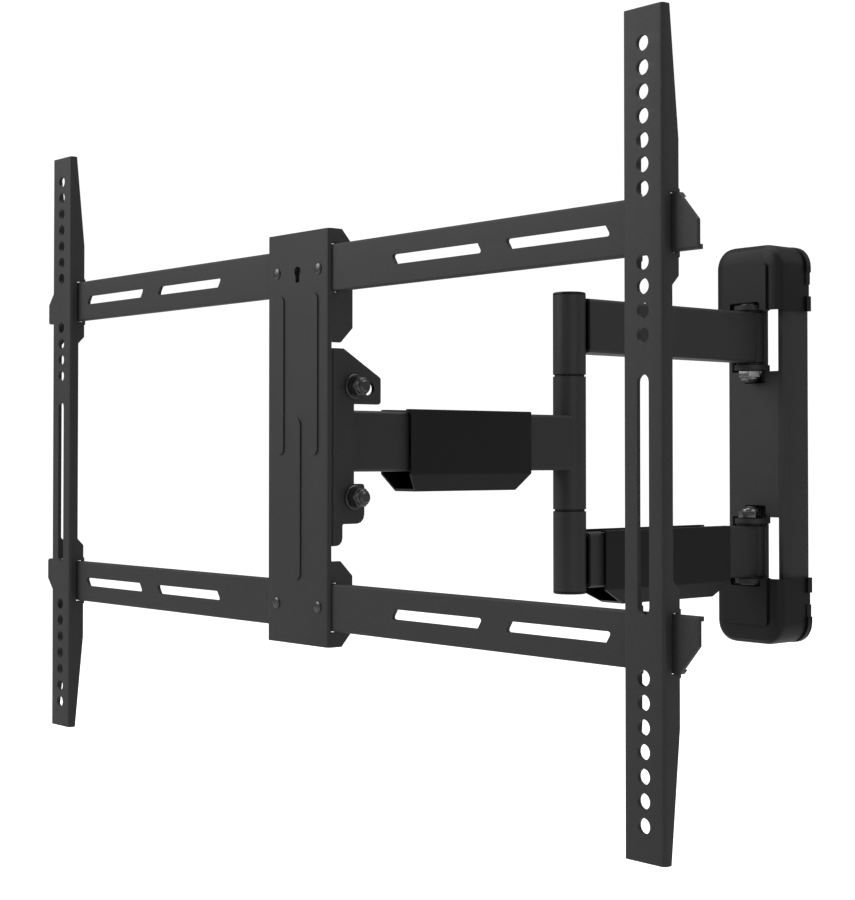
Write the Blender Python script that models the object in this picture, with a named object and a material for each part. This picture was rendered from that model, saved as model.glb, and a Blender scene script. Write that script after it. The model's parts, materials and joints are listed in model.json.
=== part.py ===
"""Full motion television wall mount, arms fully out, built as separate pieces.

Metres, +Z up. The wall is the plane Y = 0, the television is towards -Y, and the
origin is the middle of the wall plate's back face. X is across the wall.
"""

import math

import bmesh
import bpy
from mathutils import Matrix

# Clearances
GAP = 0.0003                # between two pieces that rest on each other
BORE_CLEARANCE = 0.00035    # around a bolt in its hole
SLIDE_CLEARANCE = 0.00045   # around a bar in the window it passes through

# The chain of joints from the wall out to the television
WALL_PIVOT_OUT = 0.035      # wall to the wall hinge axis
REAR_ARM_LENGTH = 0.209     # wall hinge axis to elbow axis
FRONT_ARM_LENGTH = 0.219    # elbow axis to head axis
HEAD_TO_FACE = 0.033        # head axis to the face that the television rests on
FRAME_RISE = 0.002          # middle of the television frame above the arms' middle

# Arms, which are rectangular tubes with a round knuckle at each end
ARM_WIDTH = 0.025
ARM_HEIGHT = 0.040
ARM_WALL = 0.0022
ARM_CORNER = 0.003
ARM_VENT_RADIUS = 0.003
KNUCKLE_RADIUS = 0.0122
KNUCKLE_STEP = 0.0002       # of a knuckle's flat end below the tube's face
ARM_END_INSET = 0.006       # the tube stops this short of the axis at the wall and at the head
ELBOW_INSET = 0.0092        # and this short of the elbow's axis
REAR_ARM_LEVEL = 0.0862     # middle of each rear arm above or below the middle

# Hinge bolts
PIVOT_BOLT_RADIUS = 0.005
PIVOT_HEAD_RADIUS = 0.0082
PIVOT_HEAD_THICKNESS = 0.0016
PIVOT_NUT_FLATS = 0.017
PIVOT_NUT_THICKNESS = 0.008
PIVOT_TAIL = 0.0015         # of a hinge bolt beyond its nut
BUSH_THICKNESS = 0.0015
BUSH_RADIUS = 0.0112

# Elbow column
COLUMN_RISE = 0.0043        # of the column above the rear arm
ELBOW_SPLIT = 0.0494        # height of the joint line between two knuckles
ELBOW_WASHER_THICKNESS = 0.001
ELBOW_CAP_THICKNESS = 0.0018
ELBOW_CAP_PLUG = 0.0035
ELBOW_CAP_EDGE = 0.0008
ELBOW_RECESS_RADIUS = 0.009
ELBOW_RECESS_DEPTH = 0.014
ELBOW_HEAD_RADIUS = 0.0084
ELBOW_HEAD_THICKNESS = 0.006
ELBOW_NUT_FLATS = 0.0145
ELBOW_NUT_THICKNESS = 0.008

# Wall plate
WALL_PLATE_WIDTH = 0.062
WALL_PLATE_HALF_HEIGHT = 0.152
WALL_SHEET = 0.003
CHANNEL_DEPTH = 0.029
CHANNEL_HALF_HEIGHT = 0.118
CHANNEL_BEND = 0.008
EAR_THICKNESS = 0.004
EAR_RADIUS = 0.0125
WINDOW_WIDTH = 0.047
BACK_WINDOW_WIDTH = 0.018
WINDOW_MARGIN = 0.001       # of a window beyond its ears
LAG_SLOT_LEVEL = 0.134
LAG_SLOT_LENGTH = 0.022
LAG_SLOT_WIDTH = 0.009

# Wall plate caps
CAP_WIDTH = 0.066
CAP_TOP = 0.161
CAP_BOTTOM = 0.1078
CAP_FRONT = 0.040
CAP_WALL = 0.0016
CAP_CORNER = 0.017
CAP_EDGE = 0.007
CAP_PANEL_CORNER = 0.003
CAP_OFF_WALL = 0.0006
CAP_CUTOUT_WIDTH = 0.030
CAP_CUTOUT_GAP = 0.0004     # between the cap and the hinge bolt's head
CAP_PANEL_RISE = 0.0022
CAP_PANEL_MARGIN = 0.0115
CAP_PANEL_TOP_MARGIN = 0.0155
CAP_RIM = 0.002             # how far the rim at the wall stands out
CAP_RIM_DEPTH = 0.006
CAP_NOTCH = (0.120, 0.1296)     # gap in the rim
CAP_SHALLOW_NOTCH = (0.1296, 0.1394)

# Cable covers, clipped around the arms from below
COVER_WIDTH = 0.032
COVER_WALL = 0.0018
COVER_CLEARANCE = 0.0004    # between the cover's hooks and the top of the arm
COVER_HOOK = 0.0055
COVER_SHOULDER = 0.022      # below the arm's middle, where the sides turn in
COVER_BOTTOM = 0.0336
COVER_BOTTOM_WIDTH = 0.022
FRONT_COVER = {"top": (0.086, 0.1975), "bottom": (0.0945, 0.1865)}   # behind the face
REAR_COVER = {"top": (0.274, 0.416), "bottom": (0.2975, 0.400)}

# Tilt bracket and the yoke inside it
TILT_SHEET = 0.003
TILT_WIDTH = 0.066
TILT_PIVOT_BEHIND = 0.024   # behind the face
TILT_PIVOT_LEVEL = -0.038   # from the frame's middle
TILT_SLOT_RADIUS = 0.0705   # pivot to lock bolt
TILT_FORWARD = 10.0         # degrees
TILT_BACK = 2.0
TILT_BOLT_RADIUS = 0.004
TILT_HEAD_FLATS = 0.013
TILT_HEAD_THICKNESS = 0.0050
TILT_WASHER_RADIUS = 0.008
TILT_WASHER_THICKNESS = 0.0016
TILT_NUT_FLATS = 0.0115
TILT_NUT_THICKNESS = 0.0085
TILT_BOLT_END = 0.0450      # outer end of a tilt bolt, from the middle
TILT_EAR_TOP = 0.0563
TILT_EAR_BOTTOM = -0.0548
TILT_TAIL_BOTTOM = -0.0685
TILT_TAIL_BACK = 0.0148     # behind the face
YOKE_SHEET = 0.0028
YOKE_FRONT = 0.017          # behind the face
YOKE_WEB = 0.003
YOKE_TAB_HALF_WIDTH = 0.0185   # of the web, between the lock bolts' heads
YOKE_TAB_TOP = 0.046
YOKE_CHEEK_BACK = 0.0315
YOKE_NECK_BACK = 0.0232      # where a cheek meets its ear
YOKE_CHEEK_MARGIN = 0.010   # from a tilt bolt's axis to the cheek's end
YOKE_EAR_THICKNESS = 0.004

# Television frame
FACE_SHEET = 0.0025
VESA_WIDTH = 0.600
VESA_HEIGHT = 0.400
UPRIGHT_LENGTH = 0.437
UPRIGHT_WIDTH = 0.028
UPRIGHT_DEPTH = 0.012
UPRIGHT_END_DEPTH = 0.0052
UPRIGHT_WAIST_DEPTH = 0.007
UPRIGHT_TAPER_START = 0.150
UPRIGHT_WAIST = 0.0775
UPRIGHT_BEND = 0.0025
UPRIGHT_GRIP_DEPTH = 0.0129     # flange behind a bar
UPRIGHT_GRIP_MARGIN = 0.0023    # of that deeper flange above and below a bar
UPRIGHT_GRIP_SLOPE = 0.0005
STRAP_HEIGHT = 0.018            # across the flanges, behind a bar
STRAP_THICKNESS = 0.0014
STRAP_INSET = 0.0001            # of the strap from the flanges' back edges
LOCK_SCREW_RADIUS = 0.0025
LOCK_SCREW_HEAD_RADIUS = 0.0046
LOCK_SCREW_HEAD_THICKNESS = 0.003
HOLE_RADIUS = 0.0042
HOLE_PITCH = 0.0125
OUTER_HOLES = 7                 # at each end of an upright
INNER_HOLES = 4
INNER_HOLE_TOP = 0.0875
SLOT_WIDTH = 0.008
SLOT_TOP = 0.030
SLOT_BOTTOM = -0.093

BAR_LENGTH = 0.662
BAR_HEIGHT = 0.030
BAR_LEVEL = 0.107
BAR_DEPTH = 0.0045
BAR_CHAMFER_X = 0.0128
BAR_CHAMFER_Z = 0.015
BAR_BEND = 0.0015
BAR_WINDOW_LENGTH = 0.081
BAR_WINDOW_HEIGHT = 0.0062
BAR_WINDOW_SLANT = 0.004
BAR_WINDOW_CORNER = 0.0012
BAR_WINDOW_CENTRES = (0.1315, 0.2315)

PLATE_BEHIND = 0.0035       # centre plate's front behind the face
PLATE_WIDTH = 0.066
PLATE_HEIGHT = 0.264
PLATE_FLANGE_BACK = 0.0227
PLATE_CHAMFER = 0.0095
PLATE_UPPER_FLANGE_END = 0.060
PLATE_LOWER_FLANGE_END = -0.078
BEAD_WIDTH = 0.008
BEAD_RISE = 0.0009
SIDE_BEAD_X = 0.018
SIDE_BEAD = (-0.011, 0.092)
CENTRE_BEAD = (-0.091, 0.0126)
KEYHOLE_LEVEL = 0.1068
KEYHOLE_RADIUS = 0.0034
KEYHOLE_STEM_WIDTH = 0.0042
KEYHOLE_STEM_END = 0.0998
RIVET_X = 0.022
RIVET_RADIUS = 0.0022
RIVET_HEAD_RADIUS = 0.0036
RIVET_HEAD_THICKNESS = 0.0008
STUD_X = 0.021
STUD_LEVELS = (0.048, -0.0615)
STUD_RADIUS = 0.003
STUD_NUT_FLATS = 0.011
STUD_NUT_THICKNESS = 0.0055

# Values that follow from the sizes above
WALL_AXIS = -WALL_PIVOT_OUT
ELBOW_AXIS = WALL_AXIS - REAR_ARM_LENGTH
HEAD_AXIS = ELBOW_AXIS - FRONT_ARM_LENGTH
FACE = HEAD_AXIS - HEAD_TO_FACE
BUSH_STACK = GAP + BUSH_THICKNESS + GAP
EAR_INNER = ARM_HEIGHT / 2 + BUSH_STACK
COLUMN_HALF_HEIGHT = REAR_ARM_LEVEL + ARM_HEIGHT / 2 + COLUMN_RISE
COLUMN_END = COLUMN_HALF_HEIGHT - ELBOW_CAP_THICKNESS - GAP
RECESS_FLOOR = COLUMN_END - ELBOW_RECESS_DEPTH
ELBOW_UPPER = ELBOW_SPLIT + ELBOW_WASHER_THICKNESS / 2 + GAP
ELBOW_LOWER = ELBOW_SPLIT - ELBOW_WASHER_THICKNESS / 2 - GAP
CAP_CUTOUT_TOP = REAR_ARM_LEVEL + EAR_INNER + EAR_THICKNESS + GAP + PIVOT_HEAD_THICKNESS + CAP_CUTOUT_GAP
BAR_FRONT = FACE + PLATE_BEHIND + FACE_SHEET + GAP
TILT_AXIS = (FACE + TILT_PIVOT_BEHIND, FRAME_RISE + TILT_PIVOT_LEVEL)
LOCK_LEVEL = TILT_AXIS[1] + TILT_SLOT_RADIUS
YOKE_HALF_WIDTH = TILT_WIDTH / 2 - TILT_SHEET - GAP

FAR = 0.2                   # further out than any piece, for the far side of a cutter
ROUND_STEPS = 16
KNUCKLE_STEPS = 24
MERGE = 1e-6                # points closer than this are one point
RIM_ANGLE = 1.0             # radians: flatter edges aren't part of a rim


# ---------------------------------------------------------------- outlines

def circle(u, v, radius, steps=ROUND_STEPS):
    turn = 2 * math.pi / steps
    angles = [(i + 0.5) * turn for i in range(steps)]
    return [(u + radius * math.cos(a), v + radius * math.sin(a)) for a in angles]


def hexagon(u, v, across_flats):
    return circle(u, v, across_flats / math.sqrt(3), 6)


def arc(u, v, radius, start, end, steps=7):
    """Points on an arc between two angles in degrees."""
    angles = [math.radians(start + (end - start) * i / steps) for i in range(steps + 1)]
    return [(u + radius * math.cos(a), v + radius * math.sin(a)) for a in angles]


def rectangle(u, v):
    return [(u[0], v[0]), (u[1], v[0]), (u[1], v[1]), (u[0], v[1])]


def rounded(corners, steps=3):
    """An outline whose corners, given as (u, v, radius), are rounded."""
    points = []
    for i, (u, v, radius) in enumerate(corners):
        before = corners[i - 1]
        after = corners[(i + 1) % len(corners)]
        if radius == 0:
            points.append((u, v))
            continue
        to_before = (before[0] - u, before[1] - v)
        to_after = (after[0] - u, after[1] - v)
        a = math.atan2(to_before[1], to_before[0])
        b = math.atan2(to_after[1], to_after[0])
        half = ((b - a + math.pi) % (2 * math.pi) - math.pi) / 2
        reach = radius / abs(math.sin(half))
        centre = (u + reach * math.cos(a + half), v + reach * math.sin(a + half))
        turn = math.copysign(math.pi / 2 - abs(half), half)
        facing = a + half + math.pi
        for step in range(steps + 1):
            angle = facing + turn - 2 * turn * step / steps
            points.append((centre[0] + radius * math.cos(angle), centre[1] + radius * math.sin(angle)))
    return points


def rounded_rectangle(u, v, radius):
    return rounded([(u[0], v[0], radius), (u[1], v[0], radius), (u[1], v[1], radius), (u[0], v[1], radius)])


def slot(u, v, length, width):
    """A round-ended slot lying along u."""
    reach = (length - width) / 2
    return arc(u + reach, v, width / 2, -90, 90) + arc(u - reach, v, width / 2, 90, 270)


def channel_section(half_width, front, back, sheet, bend):
    """A U with rounded folds, its web at the front."""
    inner = max(bend - sheet, 0.0004)
    return rounded([
        (-half_width, back, 0), (-half_width, front, bend),
        (half_width, front, bend), (half_width, back, 0),
        (half_width - sheet, back, 0), (half_width - sheet, front + sheet, inner),
        (-half_width + sheet, front + sheet, inner), (-half_width + sheet, back, 0)])


# ------------------------------------------------------------------ solids

PLANES = {
    "XY": Matrix(((1, 0, 0), (0, 1, 0), (0, 0, 1))),
    "XZ": Matrix(((1, 0, 0), (0, 0, -1), (0, 1, 0))),
    "YZ": Matrix(((0, 0, 1), (1, 0, 0), (0, 1, 0))),
}
THROUGH = {"XY": (0, 0, 1), "XZ": (0, 1, 0), "YZ": (1, 0, 0)}


def evaluated_mesh(obj):
    bpy.context.view_layer.update()
    graph = bpy.context.evaluated_depsgraph_get()
    return bpy.data.meshes.new_from_object(obj.evaluated_get(graph))


def slab(plane, low, high, outline, holes=()):
    """A flat outline with holes, filled, and thick from low to high across its plane."""
    curve = bpy.data.curves.new("outline", "CURVE")
    curve.dimensions = "2D"
    curve.fill_mode = "BOTH"
    curve.extrude = (high - low) / 2
    for points in (outline, *holes):
        spline = curve.splines.new("POLY")
        spline.points.add(len(points) - 1)
        for point, (u, v) in zip(spline.points, points):
            point.co = (u, v, 0, 1)
        spline.use_cyclic_u = True
    obj = bpy.data.objects.new("outline", curve)
    bpy.context.scene.collection.objects.link(obj)
    mesh = evaluated_mesh(obj)
    bpy.data.objects.remove(obj)
    middle = (low + high) / 2
    place = Matrix.Translation([middle * axis for axis in THROUGH[plane]]) @ PLANES[plane].to_4x4()
    bm = bmesh.new()
    bm.from_mesh(mesh)
    bmesh.ops.remove_doubles(bm, verts=bm.verts, dist=MERGE)
    bmesh.ops.transform(bm, matrix=place, verts=bm.verts)
    bmesh.ops.recalc_face_normals(bm, faces=bm.faces)
    bm.to_mesh(mesh)
    bm.free()
    return mesh


def boolean(operation, base, tools):
    work = bpy.data.objects.new("work", base)
    bpy.context.scene.collection.objects.link(work)
    helpers = []
    for tool in tools:
        helper = bpy.data.objects.new("tool", tool)
        bpy.context.scene.collection.objects.link(helper)
        helpers.append(helper)
        modifier = work.modifiers.new("boolean", "BOOLEAN")
        modifier.operation = operation
        modifier.solver = "EXACT"
        modifier.object = helper
    mesh = evaluated_mesh(work)
    for obj in (work, *helpers):
        bpy.data.objects.remove(obj)
    bm = bmesh.new()
    bm.from_mesh(mesh)
    bmesh.ops.remove_doubles(bm, verts=bm.verts, dist=MERGE)
    bm.to_mesh(mesh)
    bm.free()
    return mesh


def fused(base, *others):
    return boolean("UNION", base, others)


def cut(base, *cutters):
    return boolean("DIFFERENCE", base, cutters)


def mirrored(mesh, axis):
    """A copy of a mesh on the other side of the plane through the origin across axis."""
    copy = mesh.copy()
    signs = [-1 if name == axis else 1 for name in "XYZ"]
    bm = bmesh.new()
    bm.from_mesh(copy)
    bmesh.ops.scale(bm, vec=signs, verts=bm.verts)
    bmesh.ops.reverse_faces(bm, faces=bm.faces)
    bm.to_mesh(copy)
    bm.free()
    return copy


def softened_rim(mesh, axis, level, radius):
    """Round the edges of a mesh that lie in the plane where axis is level."""
    bm = bmesh.new()
    bm.from_mesh(mesh)
    rim = [edge for edge in bm.edges
           if all(abs(getattr(vert.co, axis) - level) < MERGE for vert in edge.verts)
           and edge.calc_face_angle(0) > RIM_ANGLE]
    bmesh.ops.bevel(bm, geom=rim, offset=radius, segments=3, profile=0.5, affect="EDGES", material=-1)
    bm.to_mesh(mesh)
    bm.free()
    return mesh


def cap_screw(axis_plane, centre, radius, shank, head_radius, head):
    """A bolt with a round head: shank and head are (low, high) along its axis."""
    return fused(slab(axis_plane, *shank, circle(*centre, radius)),
                 slab(axis_plane, *head, circle(*centre, head_radius)))


def lock_nut(axis_plane, centre, flats, bore, low, high, collar_up):
    """A hexagon nut with the round collar of its nylon insert at one end."""
    collar = (high - low) * 0.3
    hex_span = (low, high - collar) if collar_up else (low + collar, high)
    collar_span = (high - collar - 0.0004, high) if collar_up else (low, low + collar + 0.0004)
    hole = circle(*centre, bore, 12)
    return fused(slab(axis_plane, *hex_span, hexagon(*centre, flats), [hole]),
                 slab(axis_plane, *collar_span, circle(*centre, flats * 0.44), [hole]))


# --------------------------------------------------------------- materials

def material(name, colour, roughness, metallic):
    mat = bpy.data.materials.new(name)
    mat.use_nodes = True
    shader = mat.node_tree.nodes["Principled BSDF"]
    shader.inputs["Base Color"].default_value = (*colour, 1)
    shader.inputs["Roughness"].default_value = roughness
    shader.inputs["Metallic"].default_value = metallic
    mat.diffuse_color = (*colour, 1)
    return mat


# -------------------------------------------------------------------- wall

def wall_plate():
    half = WALL_PLATE_WIDTH / 2
    front = -CHANNEL_DEPTH
    ear_outer = EAR_INNER + EAR_THICKNESS
    tall = ear_outer + WINDOW_MARGIN
    holes = []
    for side in (-1, 1):
        level = side * REAR_ARM_LEVEL
        holes.append(rounded_rectangle((-BACK_WINDOW_WIDTH / 2, BACK_WINDOW_WIDTH / 2),
                                       (level - tall, level + tall), 0.003))
        holes.append(slot(0, side * LAG_SLOT_LEVEL, LAG_SLOT_LENGTH, LAG_SLOT_WIDTH))
    rise = WALL_PLATE_HALF_HEIGHT
    outline = rounded_rectangle((-half, half), (-rise, rise), CHANNEL_BEND)
    back = slab("XZ", -WALL_SHEET, 0, outline, holes)
    section = channel_section(half, front, -WALL_SHEET / 2, WALL_SHEET, CHANNEL_BEND)
    body = fused(back, slab("XY", -CHANNEL_HALF_HEIGHT, CHANNEL_HALF_HEIGHT, section))
    for side in (-1, 1):
        body = fused_ears(body, side * REAR_ARM_LEVEL, front, ear_outer)
    return body


def fused_ears(body, level, front, ear_outer):
    """Cut a hinge window and room for the bolt in the channel's front, and stand two ears out of it."""
    reach = WINDOW_WIDTH / 2
    neck = EAR_RADIUS + 0.0005
    tall = ear_outer + WINDOW_MARGIN
    window = [(-reach, level - tall), (-neck, level - tall), (-neck, level - EAR_INNER),
              (neck, level - EAR_INNER), (neck, level - tall), (reach, level - tall),
              (reach, level + tall), (neck, level + tall), (neck, level + EAR_INNER),
              (-neck, level + EAR_INNER), (-neck, level + tall), (-reach, level + tall)]
    outward = math.copysign(1, level)
    relief = PIVOT_NUT_FLATS / math.sqrt(3) + WINDOW_MARGIN / 2
    head_clear = level + outward * (ear_outer + PIVOT_HEAD_THICKNESS + WINDOW_MARGIN)
    nut_clear = level - outward * (ear_outer + PIVOT_NUT_THICKNESS + PIVOT_TAIL + WINDOW_MARGIN)
    bolt_relief = rectangle((-relief, relief), sorted((head_clear, nut_clear)))
    body = cut(body, *(slab("XZ", front - 0.001, front + WALL_SHEET + 0.001, outline)
                       for outline in (window, bolt_relief)))
    root = front + WALL_SHEET
    outline = [(-EAR_RADIUS, root), *arc(0, WALL_AXIS, EAR_RADIUS, 180, 360, 11), (EAR_RADIUS, root)]
    bore = circle(0, WALL_AXIS, PIVOT_BOLT_RADIUS + BORE_CLEARANCE)
    ears = [slab("XY", low, low + EAR_THICKNESS, outline, [bore])
            for low in (level - ear_outer, level + EAR_INNER)]
    return fused(body, *ears)


def wall_cap():
    """The upper cap: a moulded shell over the end of the plate, open at the back."""
    half = CAP_WIDTH / 2
    top, bottom, front = CAP_TOP, CAP_BOTTOM, -CAP_FRONT
    below = bottom - 2 * CAP_EDGE       # everything is trimmed at the bottom at the end

    def dome(inset, face, edge):
        outline = rounded([(-half + inset, below - inset, 0), (half - inset, below - inset, 0),
                           (half - inset, top - inset, CAP_CORNER - inset),
                           (-half + inset, top - inset, CAP_CORNER - inset)], 8)
        return softened_rim(slab("XZ", face, -CAP_OFF_WALL + inset, outline), "y", face, edge)

    shell = dome(0, front, CAP_EDGE)
    panel_half = half - CAP_PANEL_MARGIN
    panel_top = top - CAP_PANEL_TOP_MARGIN
    panel = slab("XZ", front - CAP_PANEL_RISE, front + CAP_WALL / 2,
                 rounded([(-panel_half, below, 0), (panel_half, below, 0),
                          (panel_half, panel_top, CAP_PANEL_CORNER),
                          (-panel_half, panel_top, CAP_PANEL_CORNER)]))
    rim = slab("XZ", -CAP_RIM_DEPTH, -CAP_OFF_WALL,
               rounded([(-half - CAP_RIM, below, 0), (half + CAP_RIM, below, 0),
                        (half + CAP_RIM, top, CAP_CORNER), (-half - CAP_RIM, top, CAP_CORNER)], 8))
    shell = fused(shell, panel, rim)
    hollow = dome(CAP_WALL, front + CAP_WALL, CAP_EDGE - CAP_WALL)
    mouth = slab("XZ", front - 0.01, front + 0.01,
                 rounded([(-CAP_CUTOUT_WIDTH / 2, below, 0), (CAP_CUTOUT_WIDTH / 2, below, 0),
                          (CAP_CUTOUT_WIDTH / 2, CAP_CUTOUT_TOP, 0.002),
                          (-CAP_CUTOUT_WIDTH / 2, CAP_CUTOUT_TOP, 0.002)]))
    notches = []
    for side in (-1, 1):
        for heights, reach in ((CAP_NOTCH, half), (CAP_SHALLOW_NOTCH, half + CAP_RIM / 2)):
            notches.append(slab("XZ", -CAP_RIM_DEPTH - 0.001, FAR,
                                rectangle(sorted((side * reach, side * FAR)), heights)))
    trim = slab("XY", below - CAP_EDGE, bottom, rectangle((-FAR, FAR), (-FAR, FAR)))
    return cut(shell, hollow, mouth, trim, *notches)


def pivot_bolt(axis, level, outward):
    """A hinge bolt through both ears, its low round head on the outer ear."""
    reach = EAR_INNER + YOKE_EAR_THICKNESS if axis == HEAD_AXIS else EAR_INNER + EAR_THICKNESS
    head = level + outward * (reach + GAP)
    tail = level - outward * (reach + GAP + PIVOT_NUT_THICKNESS + PIVOT_TAIL)
    outer = head + outward * PIVOT_HEAD_THICKNESS
    return cap_screw("XY", (0, axis), PIVOT_BOLT_RADIUS, sorted((tail, head)), PIVOT_HEAD_RADIUS,
                     sorted((head, outer)))


def pivot_nut(axis, level, outward):
    reach = EAR_INNER + YOKE_EAR_THICKNESS if axis == HEAD_AXIS else EAR_INNER + EAR_THICKNESS
    near = level - outward * (reach + GAP)
    far = near - outward * PIVOT_NUT_THICKNESS
    return lock_nut("XY", (0, axis), PIVOT_NUT_FLATS, PIVOT_BOLT_RADIUS + BORE_CLEARANCE,
                    min(near, far), max(near, far), far > near)


def bush(axis, low, thickness=BUSH_THICKNESS):
    return slab("XY", low, low + thickness, circle(0, axis, BUSH_RADIUS),
                [circle(0, axis, PIVOT_BOLT_RADIUS + BORE_CLEARANCE)])


# -------------------------------------------------------------------- arms

def arm_tube(level, near, far):
    """A hollow rectangular tube along Y, with a vent hole in its underside."""
    half = ARM_WIDTH / 2
    rise = ARM_HEIGHT / 2
    outer = rounded_rectangle((-half, half), (level - rise, level + rise), ARM_CORNER)
    inner = rounded_rectangle((-half + ARM_WALL, half - ARM_WALL),
                              (level - rise + ARM_WALL, level + rise - ARM_WALL), ARM_CORNER - ARM_WALL / 2)
    return slab("XZ", near, far, outer, [inner])


def knuckle(axis, low, high):
    return slab("XY", low, high, circle(0, axis, KNUCKLE_RADIUS, KNUCKLE_STEPS))


def arm(level, near_axis, far_axis, near_span, far_span, recess=None):
    """A tube between two knuckles; recess is (low, high) of the elbow bolt's pocket."""
    near_inset, far_inset = (ELBOW_INSET if axis == ELBOW_AXIS else ARM_END_INSET
                             for axis in (near_axis, far_axis))
    tube = arm_tube(level, near_axis + near_inset, far_axis - far_inset)
    body = fused(tube, knuckle(near_axis, *near_span), knuckle(far_axis, *far_span))
    bore = PIVOT_BOLT_RADIUS + BORE_CLEARANCE
    vent_at = (near_axis + far_axis) / 2
    cutters = [slab("XY", -FAR, FAR, circle(0, near_axis, bore)),
               slab("XY", -FAR, FAR, circle(0, far_axis, bore)),
               slab("XY", level - ARM_HEIGHT, level, circle(0, vent_at, ARM_VENT_RADIUS, 12))]
    if recess:
        cutters.append(slab("XY", *recess, circle(0, ELBOW_AXIS, ELBOW_RECESS_RADIUS)))
    return cut(body, *cutters)


def rear_arm():
    """The upper rear arm; the lower one is its mirror image."""
    half = ARM_HEIGHT / 2 - KNUCKLE_STEP
    return arm(REAR_ARM_LEVEL, ELBOW_AXIS, WALL_AXIS, (ELBOW_UPPER, COLUMN_END),
               (REAR_ARM_LEVEL - half, REAR_ARM_LEVEL + half), (RECESS_FLOOR, COLUMN_END + 0.01))


def front_arm():
    half = ARM_HEIGHT / 2 - KNUCKLE_STEP
    return arm(0, HEAD_AXIS, ELBOW_AXIS, (-half, half), (-ELBOW_LOWER, ELBOW_LOWER))


def elbow_bolt():
    seat = RECESS_FLOOR + GAP
    head = slab("XY", seat, seat + ELBOW_HEAD_THICKNESS, circle(0, ELBOW_AXIS, ELBOW_HEAD_RADIUS))
    shank = slab("XY", -seat - ELBOW_NUT_THICKNESS - 0.001, seat + 0.001,
                 circle(0, ELBOW_AXIS, PIVOT_BOLT_RADIUS))
    return fused(shank, head)


def elbow_nut():
    seat = -RECESS_FLOOR - GAP
    return lock_nut("XY", (0, ELBOW_AXIS), ELBOW_NUT_FLATS, PIVOT_BOLT_RADIUS + BORE_CLEARANCE,
                    seat - ELBOW_NUT_THICKNESS, seat, False)


def elbow_cap():
    top = COLUMN_HALF_HEIGHT
    disc = slab("XY", top - ELBOW_CAP_THICKNESS, top, circle(0, ELBOW_AXIS, KNUCKLE_RADIUS, KNUCKLE_STEPS))
    plug = slab("XY", COLUMN_END - ELBOW_CAP_PLUG, top - ELBOW_CAP_THICKNESS / 2,
                circle(0, ELBOW_AXIS, ELBOW_RECESS_RADIUS - GAP))
    return fused(softened_rim(disc, "z", top, ELBOW_CAP_EDGE), plug)


def cable_cover(level, span):
    """A trough under an arm with hooks over its top; its ends slope back to the bottom."""
    half = COVER_WIDTH / 2
    base = COVER_BOTTOM_WIDTH / 2
    wall = COVER_WALL
    hook_under = level + ARM_HEIGHT / 2 + COVER_CLEARANCE
    top = hook_under + wall * 0.7
    shoulder = level - COVER_SHOULDER
    bottom = level - COVER_BOTTOM
    right = [(base, bottom, 0.001), (half, shoulder, 0.002), (half, top, 0.0008),
             (half - COVER_HOOK, top, 0), (half - COVER_HOOK, hook_under, 0),
             (half - wall, hook_under, 0), (half - wall, shoulder + wall * 0.3, 0),
             (base - wall * 0.7, bottom + wall, 0)]
    left = [(-u, v, radius) for u, v, radius in reversed(right)]
    near, far = (FACE + y for y in span["top"])
    trough = slab("XZ", near, far, rounded(right + left, 3))
    low_near, low_far = (FACE + y for y in span["bottom"])
    near_slope = slab("YZ", -FAR, FAR, [(near - 0.01, shoulder), (near, shoulder), (low_near, bottom),
                                        (low_near, bottom - 0.01), (near - 0.01, bottom - 0.01)])
    far_slope = slab("YZ", -FAR, FAR, [(far + 0.01, shoulder), (far + 0.01, bottom - 0.01),
                                       (low_far, bottom - 0.01), (low_far, bottom), (far, shoulder)])
    return cut(trough, near_slope, far_slope)


# -------------------------------------------------------------------- head

def head_yoke():
    """Holds the front arm's knuckle between two ears, and the tilt bracket on two cheeks."""
    front = FACE + YOKE_FRONT
    back = FACE + YOKE_CHEEK_BACK
    neck = FACE + YOKE_NECK_BACK
    wide = YOKE_HALF_WIDTH
    ear_outer = EAR_INNER + YOKE_EAR_THICKNESS
    tab = YOKE_TAB_HALF_WIDTH
    web = slab("XZ", front, front + YOKE_WEB,
               rounded([(-wide, -ear_outer, 0), (wide, -ear_outer, 0), (wide, ear_outer, 0),
                        (tab, ear_outer, 0), (tab, YOKE_TAB_TOP, 0.004), (-tab, YOKE_TAB_TOP, 0.004),
                        (-tab, ear_outer, 0), (-wide, ear_outer, 0)]))
    ear = [(-wide, front), (wide, front), (wide, neck), *arc(0, HEAD_AXIS, EAR_RADIUS, 0, 180, 11),
           (-wide, neck)]
    bore = circle(0, HEAD_AXIS, PIVOT_BOLT_RADIUS + BORE_CLEARANCE)
    pieces = [slab("XY", *sorted((side * EAR_INNER, side * ear_outer)), ear, [bore]) for side in (-1, 1)]
    bolt_hole = TILT_BOLT_RADIUS + BORE_CLEARANCE
    for level in (LOCK_LEVEL, TILT_AXIS[1]):
        outward = math.copysign(1, level)
        inner_edge = outward * EAR_INNER
        outer_edge = level + outward * YOKE_CHEEK_MARGIN
        shoulder = level - outward * TILT_HEAD_FLATS * 0.62
        corners = [(front, inner_edge, 0), (neck, inner_edge, 0), (neck, shoulder, 0.0005),
                   (back, shoulder, 0.002), (back, outer_edge, 0.004), (front, outer_edge, 0.004)]
        hole = circle(TILT_AXIS[0], level, bolt_hole)
        for low in (-wide, wide - YOKE_SHEET):
            pieces.append(slab("YZ", low, low + YOKE_SHEET, rounded(corners), [hole]))
    return fused(web, *pieces)


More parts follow.
